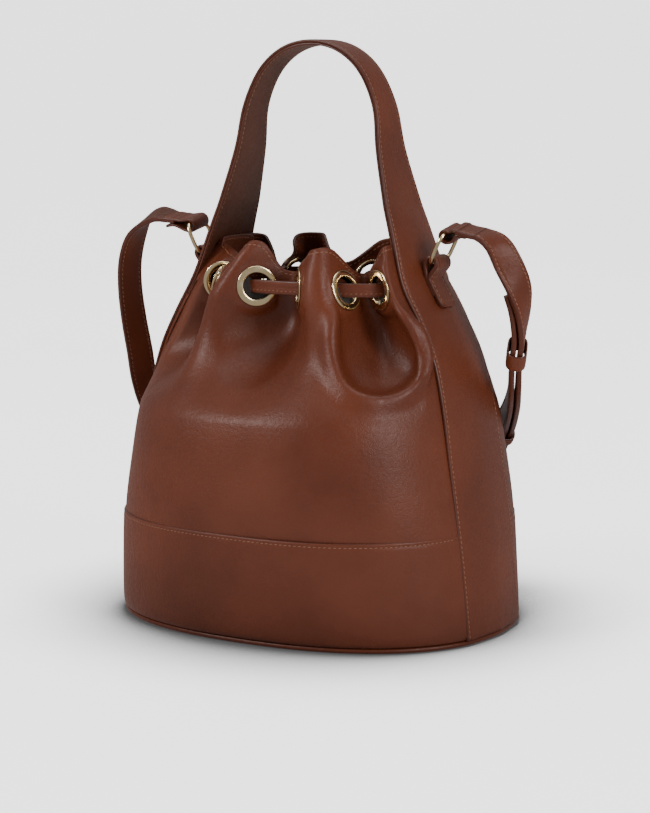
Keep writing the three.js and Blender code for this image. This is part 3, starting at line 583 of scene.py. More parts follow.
def rounded_outline(shares, half_wide, half_tall, square_wide, square_tall):
    """Offsets across and along of a rounded rectangle's outline, at shares of a turn."""
    turn = 2 * np.pi * shares
    c, s = np.cos(turn), np.sin(turn)
    wide = half_wide * np.sign(c) * np.abs(c) ** (2 / square_wide)
    tall = half_tall * np.sign(s) * np.abs(s) ** (2 / square_tall)
    return wide[:, None], tall[:, None]


def lathe(name, profile, place, material, sides=56):
    """A turned ring on a place: profile rows are radius and height along the place's normal."""
    centre, normal = place
    turn = Vector((0, 0, 1)).rotation_difference(Vector(normal)).to_matrix()
    points = []
    for k in range(sides):
        angle = 2 * math.pi * k / sides
        for radius, height in profile:
            local = Vector((radius * math.cos(angle), radius * math.sin(angle), height))
            points.append(np.array(centre) + np.array(turn @ local))
    faces = [(a, d, c, b) for a, b, c, d in quads(sides, len(profile), ring=True, loop=True)]
    return make_object(name, points, faces, [material])


def tube(name, points, radius, material, sides=14, loop=True):
    """Round wire along a line of points."""
    points = np.asarray(points, float)
    rows = len(points)
    if loop:
        tangents = unit(np.roll(points, -1, 0) - np.roll(points, 1, 0))
    else:
        tangents = unit(np.gradient(points, axis=0))
    helper = unit(np.cross(tangents, np.roll(tangents, rows // 4, 0)).sum(0)[None])[0]
    first = unit(np.cross(tangents, helper))[:, None]
    second = np.cross(tangents, first[:, 0])[:, None]
    turn = 2 * np.pi * np.arange(sides)[None, :, None] / sides
    radius = np.broadcast_to(radius, rows)[:, None, None]
    verts = points[:, None] + radius * (first * np.cos(turn) + second * np.sin(turn))
    faces = quads(rows, sides, ring=True, loop=loop)
    if not loop:
        faces += [tuple(reversed(range(sides))), tuple(range((rows - 1) * sides, rows * sides))]
    return make_object(name, verts.reshape(-1, 3), faces, [material])


# ---- the body's shape ----

CREASE = 0.3
SWELL = 0.5
BAND_SWELL = 0.35


def seam_at(z):
    """The side seam at a height: its distance from the middle, half the strip's width and its bow."""
    return tuple(float(along(SEAM, column, z)) for column in (1, 2, 3))


def at_height(outline, z):
    """An outline in plan, set at a height."""
    return np.concatenate([outline, np.full((len(outline), 1), z)], 1)


def smooth_outline(z, count):
    """Half of the body's outline at a height, from the left seam to the right, outwards positive."""
    seam_x, half, _ = seam_at(z)
    depth, square = (float(along(BODY, column, min(z, BODY[-1, 0]))) for column in (1, 2))
    reach = seam_x / (1 - (half / depth) ** square) ** (1 / square)
    start = math.asin((half / depth) ** (square / 2))
    t = np.linspace(math.pi - start, start, 400)
    x = reach * np.sign(np.cos(t)) * np.abs(np.cos(t)) ** (2 / square)
    y = depth * np.sin(t) ** (2 / square)
    return spaced(np.stack([x, y], 1), count)


def folded_outline(folds, count, corner_cut=8.0, seam_cut=3.5):
    """The folded plan at the mouth with rounded corners; further columns are the rim's height and lean."""
    seam_x, seam_half, _ = seam_at(MOUTH_Z)
    seam = np.array([seam_x, seam_half, SEAM_TOP, 0, SEAM_LEAN])
    corners = [seam * (-1, 1, 1, 1, 1), *[np.array(f, float) for f in folds], seam]
    line = [corners[0]]
    for before, corner, after in zip(corners, corners[1:], corners[2:]):
        reach = seam_cut if before is corners[0] or after is seam else corner_cut
        ends = []
        for other in (before, after):
            length = np.linalg.norm((other - corner)[:2])
            ends.append(corner + (other - corner) * min(reach / length, 0.45))
        for t in np.linspace(0, 1, 9):
            point = (1 - t) ** 2 * ends[0] + 2 * t * (1 - t) * corner + t**2 * ends[1]
            point[2:] = corner[2:]
            line.append(point)
    line.append(seam)
    return spaced(line, count)


def smoothed(values, width):
    """Values along the panel with their corners rounded off."""
    kernel = np.exp(-0.5 * (np.arange(-3 * width, 3 * width + 1) / width) ** 2)
    padded = np.pad(values, 3 * width, mode="edge")
    return np.convolve(padded, kernel / kernel.sum(), mode="valid")


def ripple(s, z, seed, count, s_range, z_range):
    """Smooth seeded unevenness from a few crossed waves, about -1 to 1."""
    random = np.random.default_rng(seed)
    total = np.zeros_like(s)
    for _ in range(count):
        a = random.uniform(*s_range) * random.choice([-1, 1])
        b = random.uniform(*z_range)
        total += np.sin(a * s + b * z + random.uniform(0, 6.28))
    return total / count**0.5


def panel_grid(folds, side, columns=300, rows=190):
    """The outer face of a panel from under the band up to the rim."""
    folded = folded_outline(folds, columns)
    rim = smoothed(folded[:, 2], 7)
    lean_x, lean_y = (smoothed(folded[:, i], 5) for i in (3, 4))
    levels = np.linspace(0, 1, rows)
    levels = 0.75 * levels + 0.25 * levels**0.7
    foot = BAND_TOP - PANEL_TUCK
    z = foot + (rim[None] - foot) * levels[:, None]
    heights = np.linspace(foot - 1, FOLD_PEAK, 90)
    outlines = np.array([smooth_outline(h, columns) for h in heights])
    position = (z - heights[0]) / (heights[1] - heights[0])
    low = np.clip(position.astype(int), 0, len(heights) - 2)
    share = (position - low)[..., None]
    column = np.arange(columns + 1)[None]
    smooth = outlines[low, column] * (1 - share) + outlines[low + 1, column] * share
    grip = smoothstep((z - FOLD_FOOT) / (FOLD_TOP - FOLD_FOOT))
    narrow = along(SEAM, 1, z) / seam_at(MOUTH_Z)[0]
    above = np.clip((z - MOUTH_Z + 8) / (rim - MOUTH_Z + 8)[None], 0, 1) ** 1.6
    x = smooth[..., 0] * (1 - grip) + (folded[None, :, 0] + lean_x * above) * narrow * grip
    y = smooth[..., 1] * (1 - grip) + (folded[None, :, 1] + lean_y * above) * grip
    near_seam = np.clip(1 - np.minimum(column, columns - column) / (columns / 30), 0, 1)
    seam_y = along(SEAM, 2, z) + SEAM_LEAN * smoothstep((z - 238) / 29)
    y = y + (seam_y - y) * near_seam * grip
    return np.stack([x, side * y, z], -1)


def grid_normals(grid, side):
    """The outward direction at each point of a panel."""
    normal = unit(np.cross(np.gradient(grid, axis=1), np.gradient(grid, axis=0)))
    outwards = np.sign((normal[..., 1] * side).mean())
    return normal * outwards


def panel_details(grid, side, seed):
    """Moves the panel's face by soft creases below the eyelets and gentle unevenness lower down."""
    rows, columns = grid.shape[:2]
    s = np.broadcast_to(np.linspace(0, PANEL_WIDTH, columns)[None], (rows, columns))
    z = grid[..., 2]
    neck = smoothstep((z - 165) / 45) * (1 - smoothstep((z - 250) / 12))
    body = 1 - neck
    lift = CREASE * ripple(s, z, seed, 6, (0.06, 0.16), (0.01, 0.06)) * neck
    lift += SWELL * ripple(s, z, seed + 1, 5, (0.012, 0.035), (0.012, 0.04)) * body
    return grid + grid_normals(grid, side) * lift[..., None]


def deep_fold(grid, side, share, middle, size, depth, rim, flatness):
    """Sinks a rounded pocket with a raised lip into the panel at a share of its width."""
    s = (np.linspace(0, 1, grid.shape[1])[None] - share) * POCKET_SPAN
    z = grid[..., 2] - middle
    ring = np.sqrt((s / size[0]) ** 2 + (z / size[1]) ** 2)
    lower = 1 - smoothstep((z - 2) / 30)
    bowl = np.clip(1 - ring**flatness, 0, 1) ** 1.3
    lift = -depth * bowl + rim * np.exp(-(((ring - 1.0) / 0.15) ** 2)) * lower
    return grid + grid_normals(grid, side) * lift[..., None]


def eyelet_places(folds, side):
    """Each eyelet's centre and the direction that it faces."""
    result = []
    wide, narrow, mouth = (seam_at(MOUTH_Z + rise)[0] for rise in (-10, 10, 0))
    for a, b in EYELET_FLANKS:
        start, end = np.array(folds[a], float), np.array(folds[b], float)
        middle = (start + end) / 2
        centre = np.array([middle[0], side * middle[1], MOUTH_Z])
        run = np.array([end[0] - start[0], side * (end[1] - start[1]), 0])
        rise = np.array([centre[0] * (narrow - wide) / mouth, -centre[1] * MOUTH_LEAN * 20, 20.0])
        normal = unit(np.cross(run, rise))
        result.append((centre, normal * (1 if normal[1] * side > 0 else -1)))
    return result


def beside_eyelet(grid, centre):
    """How far each column lies from an eyelet's middle, measured along the panel."""
    level = grid[np.argmin(np.abs(grid[..., 2] - MOUTH_Z), axis=0), np.arange(grid.shape[1])]
    reach = reaches(level[:, :2])
    return np.abs(reach - reach[np.argmin(np.linalg.norm(level - centre, axis=1))])[None]


def over_eyelet(points, place):
    """Each point's height over an eyelet's face, and its distance from the eyelet's axis."""
    centre, normal = place
    offset = points - centre
    height = offset @ normal
    return height, np.linalg.norm(offset - height[..., None] * normal, axis=-1)


def flatten_at(grid, places):
    """Presses the leather flat round each eyelet."""
    for place in places:
        height, radius = over_eyelet(grid, place)
        beside = beside_eyelet(grid, place[0])
        near = (1 - smoothstep((radius - FLAT_RADIUS) / 8)) * (1 - smoothstep((beside - FLAT_BESIDE) / 3))
        grid = grid - (height * near)[..., None] * place[1]
    return grid


def panel_object(name, grid, side, places, materials):
    """The panel as a skin with thickness, with a hole under each eyelet."""
    rows, columns = grid.shape[:2]
    inner = grid - grid_normals(grid, side) * LEATHER
    middle = (grid[:-1, :-1] + grid[1:, 1:]) / 2
    hole = np.zeros(middle.shape[:2], bool)
    for place in places:
        height, radius = over_eyelet(middle, place)
        beside = beside_eyelet(grid, place[0])[:, :-1]
        hole |= (radius < EYELET_PUNCH) & (np.abs(height) < 3) & (beside < 15)
    size = rows * columns
    front = [face for face, cut in zip(quads(rows, columns), hole.ravel()) if not cut]
    back = [tuple(i + size for i in reversed(face)) for face in front]
    rim = [(a, a + 1, a + 1 + size, a + size) for a in range(size - columns, size - 1)]
    faces = front + back + rim
    if side > 0:
        faces = [face[::-1] for face in faces]
    kinds = [0] * len(front) + [2] * len(back) + [1] * len(rim)
    points = np.concatenate([grid.reshape(-1, 3), inner.reshape(-1, 3)])
    return make_object(name, points, faces, materials, kinds)


def make_panel(name, folds, side, look, seed, pockets=()):
    """A gathered panel with its rim sewn inside and out."""
    places = eyelet_places(folds, side)
    grid = panel_details(panel_grid(folds, side), side, seed)
    for pocket in pockets:
        grid = deep_fold(grid, side, *pocket)
    grid = flatten_at(grid, places)
    panel = panel_object(name, grid, side, places, plies(look))
    row = np.argmax(grid[:, :, 2] > grid[-1:, :, 2] - 3.2, axis=0)
    pick = np.arange(grid.shape[1])
    line, normals = grid[row, pick], grid_normals(grid, side)[row, pick]
    outer = stitches(f"{name}_rim_stitches", line, normals, look["thread"])
    inner = stitches(f"{name}_rim_stitches_inside", line - normals * LEATHER, -normals, look["thread"])
    for piece in (panel, outer, inner):
        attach(piece, BAG)
    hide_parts(name)
    return places, grid


# ---- base and bands ----

# The base's edge: how far in, how high.
BASE_EDGE = [(2.6, 0.0), (1.4, 0.15), (0.6, 0.8), (0.4, 1.7), (0.6, 2.7), (1.2, 3.4)]
# The band's section: height, then how far out it stands. It is sewn in the dip near its top.
BAND_SEAM = 73.3
BAND_SECTION = [(BAND_FOOT, -2.0), (4.1, -0.7), (5.2, 0.25), (7.5, 0.75), (12, 1.0)]
BAND_SECTION += [(z, 1.15) for z in np.linspace(20, 68, 14)]
BAND_SECTION += [
    (71, 1.2), (72.6, 1.15), (BAND_SEAM, 0.8), (74.0, 1.15), (74.9, 1.15), (75.7, 0.85), (76.1, 0.2),
    (76.0, -0.9), (73.5, -1.2), (60, -1.2), (6, -1.6),
]


def whole_outline(z, count=120, strip_count=24):
    """The body's full outline at a height as one closed line."""
    half = smooth_outline(z, count)
    t = np.linspace(-1, 1, strip_count + 2)[1:-1]
    seam_x, width, bow = seam_at(z)
    strip = np.stack([seam_x + bow * (1 - t**2), t * width], 1)
    front = half * (1, -1)
    return np.concatenate([front, strip, -front, -strip])


def base_panel(look):
    """The flat base with a softly rounded edge."""
    outline = whole_outline(0)
    reach = np.linalg.norm(outline, axis=1, keepdims=True)
    points = np.concatenate([at_height(outline * (1 - inward / reach), z) for inward, z in BASE_EDGE])
    count = len(outline)
    faces = [tuple(reversed(range(count))), tuple(range(len(points) - count, len(points)))]
    faces += quads(len(BASE_EDGE), count, ring=True)
    piece = make_object("base_panel_leather", points, faces, [look["leather"]])
    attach(piece, BAG)
    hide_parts("base_panel")


def base_band(name, side, look):
    """The deep band round the foot of the body, turned over at its top edge and sewn down."""
    columns = 220
    grid = []
    for z, lift in BAND_SECTION:
        outline = smooth_outline(z, columns)
        tangent = unit(np.gradient(outline, axis=0))
        normal = np.stack([-tangent[:, 1], tangent[:, 0]], 1)
        s = np.linspace(0, 340, columns + 1)
        wave = BAND_SWELL * ripple(s, np.full_like(s, z), 21 + side, 4, (0.015, 0.04), (0.01, 0.03))
        moved = outline + normal * (lift + wave * (z > 10))[:, None]
        grid.append(at_height(moved * (1, side), z))
    grid = np.array(grid)
    faces = [face if side < 0 else face[::-1] for face in quads(len(grid), columns + 1)]
    kinds = [int(74.9 < z <= 76.1) for z, _ in BAND_SECTION[:-1] for _ in range(columns)]
    piece = make_object(f"{name}_leather", grid.reshape(-1, 3), faces, [look["leather"], look["edge"]], kinds)
    line = grid[[z for z, _ in BAND_SECTION].index(BAND_SEAM)][2:-2]
    outwards = np.cross(unit(np.gradient(line, axis=0)), UP)
    row = stitches(f"{name}_stitches", line, outwards * -side, look["thread"])
    for made in (piece, row):
        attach(made, BAG)
    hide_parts(name)


# ---- side strips and handle ----


def strip_line():
    """The middle line of the strip from the left foot over the handle to the right foot, with widths."""
    heights = np.linspace(BAND_FOOT, LEG_TOP, 130)
    leg = np.stack([along(SEAM, 1, heights), heights, along(SEAM, 2, heights), along(SEAM, 3, heights)], 1)
    arch = np.concatenate([ARCH, ARCH[-2::-1] * (-1, 1, 1)])
    curve = catmull(np.concatenate([arch, np.zeros((len(arch), 1))], 1), 120)
    curve[:, 3] = 0
    rows = np.concatenate([leg * (-1, 1, 1, 1), curve[::-1], leg[::-1]])
    rows = spaced(rows, 419)
    kernel = np.ones(5) / 5
    for column in range(4):
        rows[2:-2, column] = np.convolve(rows[:, column], kernel, mode="same")[2:-2]
    return rows


def strip_frames(rows):
    """The strip's middle points and its directions across and outwards."""
    points = np.stack([rows[:, 0], np.zeros(len(rows)), rows[:, 1]], 1)
    across = np.tile([0.0, 1.0, 0.0], (len(rows), 1))
    normals = np.cross(across, unit(np.gradient(points, axis=0)))
    return points, across, normals * np.sign(normals[len(rows) // 2, 2])


def make_strip(look):
    """The side strips and the handle: one outer length of leather and a facing from the mouth up."""
    rows = strip_line()
    points, across, normals = strip_frames(rows)
    halves, bow = rows[:, 2], rows[:, 3]
    wide = halves + STRIP_MARGIN
    upper = rows[:, 1] > HANDLE_FACING_FOOT
    outer = sweep("side_strip_and_handle", points, across, normals, wide, STRIP_FACE, STRIP_BACK,
                  plies(look, "inside"), bow)
    rough = [look["inside"], look["edge"], look["inside"]]
    facing = sweep("handle_facing_leather", points[upper], across[upper], -normals[upper],
                   halves[upper] + 0.5, 2.5, 0.75, rough, -bow[upper])
    pieces = [outer, facing]
    inset = wide - STITCH_INSET
    lift = bow * (1 - (inset / wide) ** 2)
    for sign, word in ((-1, "front"), (1, "back")):
        edge = points + across * (sign * inset)[:, None]
        line = edge + normals * (lift + 1.2)[:, None]
        pieces.append(stitches(f"strip_{word}_stitches", line, normals, look["thread"]))
        inner = edge + normals * (lift - 2.35)[:, None]
        pieces.append(stitches(f"facing_{word}_stitches", inner[upper], -normals[upper], look["thread"]))
    for piece in pieces:
        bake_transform(piece)
    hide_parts("gusset_left", "gusset_right", "handle_neck_left", "handle_neck_right", "handle")
    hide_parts("handle_facing")


# ---- metal ----


def make_eyelets(places, word, look):
    """An eyelet of rolled metal in each place, with its washer behind the leather."""
    back = -LEATHER - 0.9
    middle = (EYELET_OUTER + EYELET_HOLE) / 2
    flange = [(middle + (EYELET_OUTER - middle) * np.sign(math.cos(a)) * abs(math.cos(a)) ** 0.55,
               0.35 + 1.0 * math.sin(a) ** 0.6) for a in np.linspace(0, math.pi, 9)]
    barrel = EYELET_HOLE + 1
    profile = [(barrel, 0.3), *flange, (EYELET_HOLE, back), (EYELET_HOLE + 0.4, back - 0.7),
               (EYELET_OUTER - 1.6, back - 0.7), (EYELET_OUTER - 1.1, back - 0.1), (barrel, back + 0.1)]
    for i, place in enumerate(places, 1):
        ring = lathe(f"{word}_eyelet_ring_{i}", profile, place, look["gold"])
        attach(ring, BAG)
        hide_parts(f"{word}_eyelet_{i}")


def ring_points(side, steps=96):
    """The ring's middle line, leaning out from its tab."""
    across, up = rounded_outline((np.arange(steps) + 0.5) / steps, RING_HALF_WIDTH, RING_HALF_HEIGHT,
                                 RING_SQUARE, RING_SQUARE)
    points = RING_FOOT + RING_UP * (RING_HALF_HEIGHT + up) + np.array([0, 1, 0]) * across
    return points * (side, side, 1)


def ring_top():
    """Where the wire ring carries the strap's turned end."""
    return RING_FOOT + RING_UP * 2 * RING_HALF_HEIGHT - UP * LOOP_RISE


def strip_face(z):
    """How far out the side strip's face stands at a height."""
    seam_x, _, bow = seam_at(z)
    return seam_x + bow + STRIP_FACE


def side_path(path, side, tilt=0.0, count=110):
    """A path of x and z points as a strip across the bag's depth, tilted so that its back edge rises."""
    path = catmull([(x, 0, z) for x, z in path], count)
    across = np.tile([0.0, 1.0, 0.0], (len(path), 1))
    normals = np.cross(unit(np.gradient(path, axis=0)), across)
    turn = np.array([side, side, 1.0])
    c, s = math.cos(tilt), math.sin(tilt)
    roll = np.array([[1, 0, 0], [0, c, s], [0, -s, c]])
    middle = UP * STRAP_START[2]
    return (path * turn - middle) @ roll + middle, (across * turn) @ roll, (normals * turn) @ roll


def rounded_start(count, half, radius, step):
    """Half widths that round off a strip's corners at its first end."""
    away = np.arange(count) * step
    return half - radius + np.sqrt(np.maximum(radius**2 - np.maximum(radius - away, 0) ** 2, 0))


def ring_tab(word, side, look):
    """The tab that holds a ring: a strip turned round the wire and sewn flat to the side strip."""
    foot = RING_FOOT + UP * LOOP_RISE
    radius = LOOP_HOLE + 0.9
    arc = [(foot[0] + radius * math.cos(a), foot[2] + radius * math.sin(a))
           for a in np.linspace(-0.45, math.pi + 0.15, 12)]
    front = [(strip_face(z) + 1.9, z) for z in (TAB_FOOT, 229, 234)]
    front += [(strip_face(239) + 1.7, 239), (strip_face(244) + 1.9, 244)]
    back = [(strip_face(z) + 0.2, z) for z in (243, 238, 232)]
    points, across, inwards = side_path(front + arc + back, side)
    normals = -inwards
    step = np.linalg.norm(np.diff(points, axis=0), axis=1).mean()
    halves = rounded_start(len(points), TAB_HALF, 4.0, step)
    tab = sweep(f"tab_{word}", points, across, normals, halves, 1.5, -1.3, plies(look))
    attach(tab, BAG)
    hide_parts(f"ring_tab_{word}")
    inset = TAB_HALF - STITCH_INSET
    first = round(STITCH_INSET / step)
    sewn = slice(first, round(20 / step))
    rows = edge_stitches(f"tab_{word}", points[sewn], across[sewn], normals[sewn], inset, 1.4, look)
    share = np.linspace(-1, 1, 12)[:, None]
    line = points[first] + normals[first] * 1.4 + across[first] * share * inset
    rows.append(stitches(f"tab_{word}_foot_stitches", line, np.tile(normals[first], (12, 1)), look["thread"]))
    for row in rows:
        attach(row, BAG)


def ring_hardware(word, side, look):
    """A wire ring, the tab that holds it and the strap's turned end."""
    body = f"ring_{word}"
    ring = tube(f"wire_ring_{word}", ring_points(side), RING_WIRE, look["gold"])
    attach(ring, body)
    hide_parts(body)
    ring_tab(word, side, look)
    root_x, root_z, end_z = ROOTS[side]
    strap_x = STRAP_START[0] + 0.4
    path = [(root_x, root_z), (119, 0.4 * root_z + 0.6 * end_z), (strap_x, end_z)]
    points, across, normals = side_path(path, side, STRAP_TILT, 30)
    stub = sweep(f"strap_root_{word}", points, across, normals, STRAP_WIDTH / 2, STRAP_THICK / 2,
                 -STRAP_THICK / 2, plies(look, "inside"))
    rows = edge_stitches(f"strap_root_{word}", points, across, normals, STRAP_WIDTH / 2 - STITCH_INSET,
                         STRAP_THICK / 2 - STITCH_SINK, look)
    fold = strap_fold(word, side, look)
    for piece in (stub, *rows, fold):
        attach(piece, body)
    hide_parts(f"strap_fold_{word}")


def strap_fold(word, side, look):
    """The leather that turns round the ring's wire and closes on the strap from above and below."""
    root_x, root_z, _ = ROOTS[side]
    top = ring_top()
    radius = LOOP_HOLE + 0.9
    arc = [(top[0] + radius * math.cos(a), top[2] + radius * math.sin(a))
           for a in np.linspace(math.pi / 2, 1.5 * math.pi, 10)]
    upper = [(root_x + 2.5, root_z + 0.9), (root_x - 1.5, root_z + 1.3), (root_x - 5, top[2] + radius - 0.9)]
    lower = [(top[0] + 4.5, top[2] - radius + 0.9), (root_x, root_z - 2.8), (root_x + 7, root_z - 3.6)]
    points, across, normals = side_path(upper + arc + lower, side, STRAP_TILT)
    return sweep(f"strap_end_{word}", points, across, normals, STRAP_WIDTH / 2 - 0.2, 0.95, -0.95,
                 plies(look), groove=False)


def mouth_facing(word, side, look):
    """The band inside the mouth that crosses the handle's strip from the front panel to the back one."""
    y = np.linspace(*FACING_REACH, 40)
    points = np.stack([np.zeros_like(y), y, SEAM_TOP - FACING_DROP - 2.5 * (y / FACING_REACH[1]) ** 4], 1)
    points[:, 0] = side * (seam_at(SEAM_TOP - 10)[0] - 3.2 + 1.5 * (1 - (y / 30) ** 2))
    across = np.tile(unit(np.array([-side * 0.32, 0.0, 0.95])), (len(y), 1))
    normals = np.tile(unit(np.array([-side * 0.95, 0.0, -0.32])), (len(y), 1))
    band = sweep(f"mouth_facing_{word}", points, across, normals, FACING_HALF, 0.9, -0.9, plies(look),
                 groove=False)
    line = points + across * (FACING_HALF - STITCH_INSET) + normals * 0.8
    row = stitches(f"mouth_facing_{word}_stitches", line, normals, look["thread"])
    for piece in (band, row):
        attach(piece, BAG)


# ---- straps ----


def routed(route, count):
    """A route as points with directions across, outwards and along."""
    curve = catmull(np.array(route, float), count)
    points, sides = curve[:, :3], unit(curve[:, 3:])
    tangents, across, normals = frames(points, sides)
    return points, across, normals, tangents


def strap_piece(name, route, count, look, node):
    """A length of strap, sewn along both edges of both faces."""
    points, across, normals, _ = routed(route, count)
    piece = sweep(f"{name}_leather", points, across, normals, STRAP_WIDTH / 2, STRAP_THICK / 2,
                  -STRAP_THICK / 2, plies(look, "inside"))
    made = [piece]
    for face, word in ((1, "outer"), (-1, "inner")):
        made += edge_stitches(f"{name}_{word}", points, across, normals * face,
                              STRAP_WIDTH / 2 - STITCH_INSET, STRAP_THICK / 2 - STITCH_SINK, look)
    for item in made:
        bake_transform(item)
    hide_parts(node)
    return piece, points


def long_route():
    """The long strap's route, with its tail laid against the bag side of the short strap."""
    points, across, normals, _ = routed(SHORT_ROUTE, SHORT_STEPS)
    tail = []
    share = 0.97
    while share > LONG_TAIL_SHARE:
        i = round(share * SHORT_STEPS)
        spot = points[i] - normals[i] * (STRAP_THICK + TAIL_GAP)
        tail.append((*spot, *across[i]))
        share -= 0.06
    return LONG_ROUTE + tail


def on_strap(share, lift):
    """A place on the short strap: its centre and the directions across, along and outwards."""
    points, across, normals, tangents = routed(SHORT_ROUTE, SHORT_STEPS)
    i = round(share * (len(points) - 1))
    return points[i] + normals[i] * lift, across[i], tangents[i], normals[i]


def leather_loop(name, place, half_sizes, squares, height, thick, look, groove=False):
    """A closed band of leather round what passes through it."""
    centre, across, tangent, normal = place
    wide, deep = rounded_outline(np.arange(72) / 72, *half_sizes, *squares)
    points = centre + across * wide + normal * deep
    lengthwise = np.tile(tangent, (len(points), 1))
    outwards = np.cross(unit(np.roll(points, -1, 0) - np.roll(points, 1, 0)), lengthwise)
    if (points[0] - centre) @ outwards[0] < 0:
        outwards = -outwards
    return sweep(f"{name}_leather", points, lengthwise, outwards, height / 2, thick, -thick,
                 plies(look, "inside"), groove=groove, loop=True)


def keeper(name, share, look, body, node, height):
    """A loop of leather round both layers of the strap."""
    place = on_strap(share, -(STRAP_THICK + TAIL_GAP) / 2)
    half_sizes = (STRAP_WIDTH / 2 + KEEPER_ROOM[0], STRAP_THICK + TAIL_GAP / 2 + KEEPER_ROOM[1])
    piece = leather_loop(name, place, half_sizes, (4.2, 3.0), height, 0.8, look)
    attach(piece, body)
    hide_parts(node)
    return piece


def buckle(look):
    """The buckle's rounded frame and its prong, behind the bag."""
    centre, across, tangent, normal = on_strap(1.0, STRAP_THICK / 2)
    centre = centre + tangent * BUCKLE_AHEAD
    wide, tall = rounded_outline(np.arange(80) / 80, *BUCKLE_HALF, 5, 5)
    ring = tube("buckle_frame_wire", centre + across * wide + tangent * tall, BUCKLE_WIRE, look["gold"])
    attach(ring, BAG)
    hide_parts("buckle_frame")
    share = np.linspace(-1, 1, 16)
    line = centre + tangent * (share * BUCKLE_HALF[1] - 0.5)[:, None]
    line = line + normal * (3.0 + 0.5 * share**2)[:, None]
    prong = tube("buckle_prong_wire", line, PRONG_WIRE - 0.2 * share, look["gold"], sides=10, loop=False)
    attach(prong, "buckle_prong")
    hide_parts("buckle_prong")
    return ring, prong


def make_straps(look):
    """Both lengths of the shoulder strap with their keepers and buckle."""
    short, short_points = strap_piece("strap_short", SHORT_ROUTE, 150, look, "strap_short")
    long, long_points = strap_piece("strap_long", long_route(), 460, look, "strap_long")
    sliding = keeper("keeper_sliding", 0.62, look, "keeper_sliding", "keeper_sliding", 12)
    fixed = keeper("keeper_fixed", 0.95, look, BAG, "keeper_fixed", 9)
    ring, prong = buckle(look)


# ---- drawstring ----


def string_tail(side):
    """One hanging end's route, from its foot up to the mouth."""
    return [(side * STRING_TAIL_X, y, z, -side, 0, 0) for y, z in STRING_TAIL]


def string_route(front, back):
    """The drawstring's route through every eyelet and round both ends of the mouth."""

    def level(x, y):
        return (x, y, MOUTH_Z, 0, 0, 1)

    def bend(side):
        return (side * 8, 50, MOUTH_Z - 6, -side * 0.6, 0, 0.8)

    front, back = ([level(*centre[:2]) for centre, _ in places] for places in (front, back))
    return [*string_tail(1)[-2:], bend(1), *back[3:], level(77, 22), level(79.5, 0), level(77, -20),
            *front[::-1], level(-76, -20), level(-79.5, 0), level(-77, 22), *back[:3], bend(-1),
            *string_tail(-1)[::-1][:2]]


def string_piece(name, route, count, look):
    """A length of the flat drawstring."""
    points, across, normals, _ = routed(route, count)
    piece = sweep(name, points, across, normals, STRING_WIDTH / 2, STRING_THICK / 2, -STRING_THICK / 2,
                  plies(look), groove=False)
    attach(piece, BAG)
    return piece, points, across, normals


def make_drawstring(front, back, look):
    """The flat string through every eyelet, its two hanging ends and their sliding stopper."""
    string, points, across, normals = string_piece("drawstring_leather", string_route(front, back), 420, look)
    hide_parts("drawstring")
    edge = points - across * (STRING_WIDTH / 2 - 2.6)
    for face, word in ((1, "outer"), (-1, "inner")):
        line = edge + normals * face * (STRING_THICK / 2 - STITCH_SINK)
        row = stitches(f"drawstring_{word}_stitches", line, normals * face, look["thread"])
        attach(row, BAG)
    for side, word in ((1, "right"), (-1, "left")):
        end, points, _, _ = string_piece(f"drawstring_end_{word}", string_tail(side)[::-1][1:], 80, look)
    stopper(look)


def stopper(look):
    """The leather slide round the drawstring's two hanging ends."""
    centre, _ = middle_of("drawstring_stopper")
    back, rise = STOPPER_SLOPE
    tangent, normal = unit(np.array([0, back, rise])), np.array([0, rise, -back])
    place = (np.array(centre), np.array([1.0, 0, 0]), tangent, normal)
    piece = leather_loop("stopper", place, STOPPER_HALF, (5, 3), STOPPER_HEIGHT, 0.9, look, groove=True)
    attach(piece, "drawstring_stopper")
    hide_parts("drawstring_stopper")


# ---- inside ----

LINING_GAP = 0.6
LINING_DROP = 19
LINING_SHRINK = 0.965
LINING_FOOT = 7
TEETH = 60
TOOTH_PITCH = 1.5


def make_lining(front_grid, back_grid, look):
    """The dark lining: it follows the panels and strips on the inside and covers the floor."""
    sheets = []
    for grid, side in ((front_grid, -1), (back_grid, 1)):
        inner = (grid - grid_normals(grid, side) * (LEATHER + LINING_GAP))[::3, ::2]
        keep = inner[..., 2] < grid[-1:, ::2, 2] - LINING_DROP
        for c in range(inner.shape[1]):
            last = np.flatnonzero(keep[:, c]).max()
            inner[last:, c] = inner[last, c]
        foot = [at_height(smooth_outline(z, grid.shape[1] - 1)[::2] * LINING_SHRINK * (1, side), z)
                for z in (LINING_FOOT, 30, 55)]
        sheets.append(np.concatenate([np.array(foot), inner]))
    for side in (-1, 1):
        rows = []
        for z in np.linspace(LINING_FOOT, 236, 40):
            seam_x, half, bow = seam_at(z)
            rows.append([(side * (seam_x + bow * (1 - u * u) - 3.4), u * half, z)
                         for u in np.linspace(-1.06, 1.06, 12)])
        sheets.append(np.array(rows))
    points, faces = [], []
    for sheet in sheets:
        base = len(points)
        points.extend(sheet.reshape(-1, 3))
        faces += [tuple(base + i for i in face) for face in quads(*sheet.shape[:2])]
    base = len(points)
    floor = whole_outline(0) * LINING_SHRINK
    points.extend(at_height(floor, LINING_FOOT + 0.2))
    faces.append(tuple(range(base, len(points))))
    piece = make_object("lining_cloth", points, faces, [look["lining"]])
    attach(piece, BAG)
    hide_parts("lining")


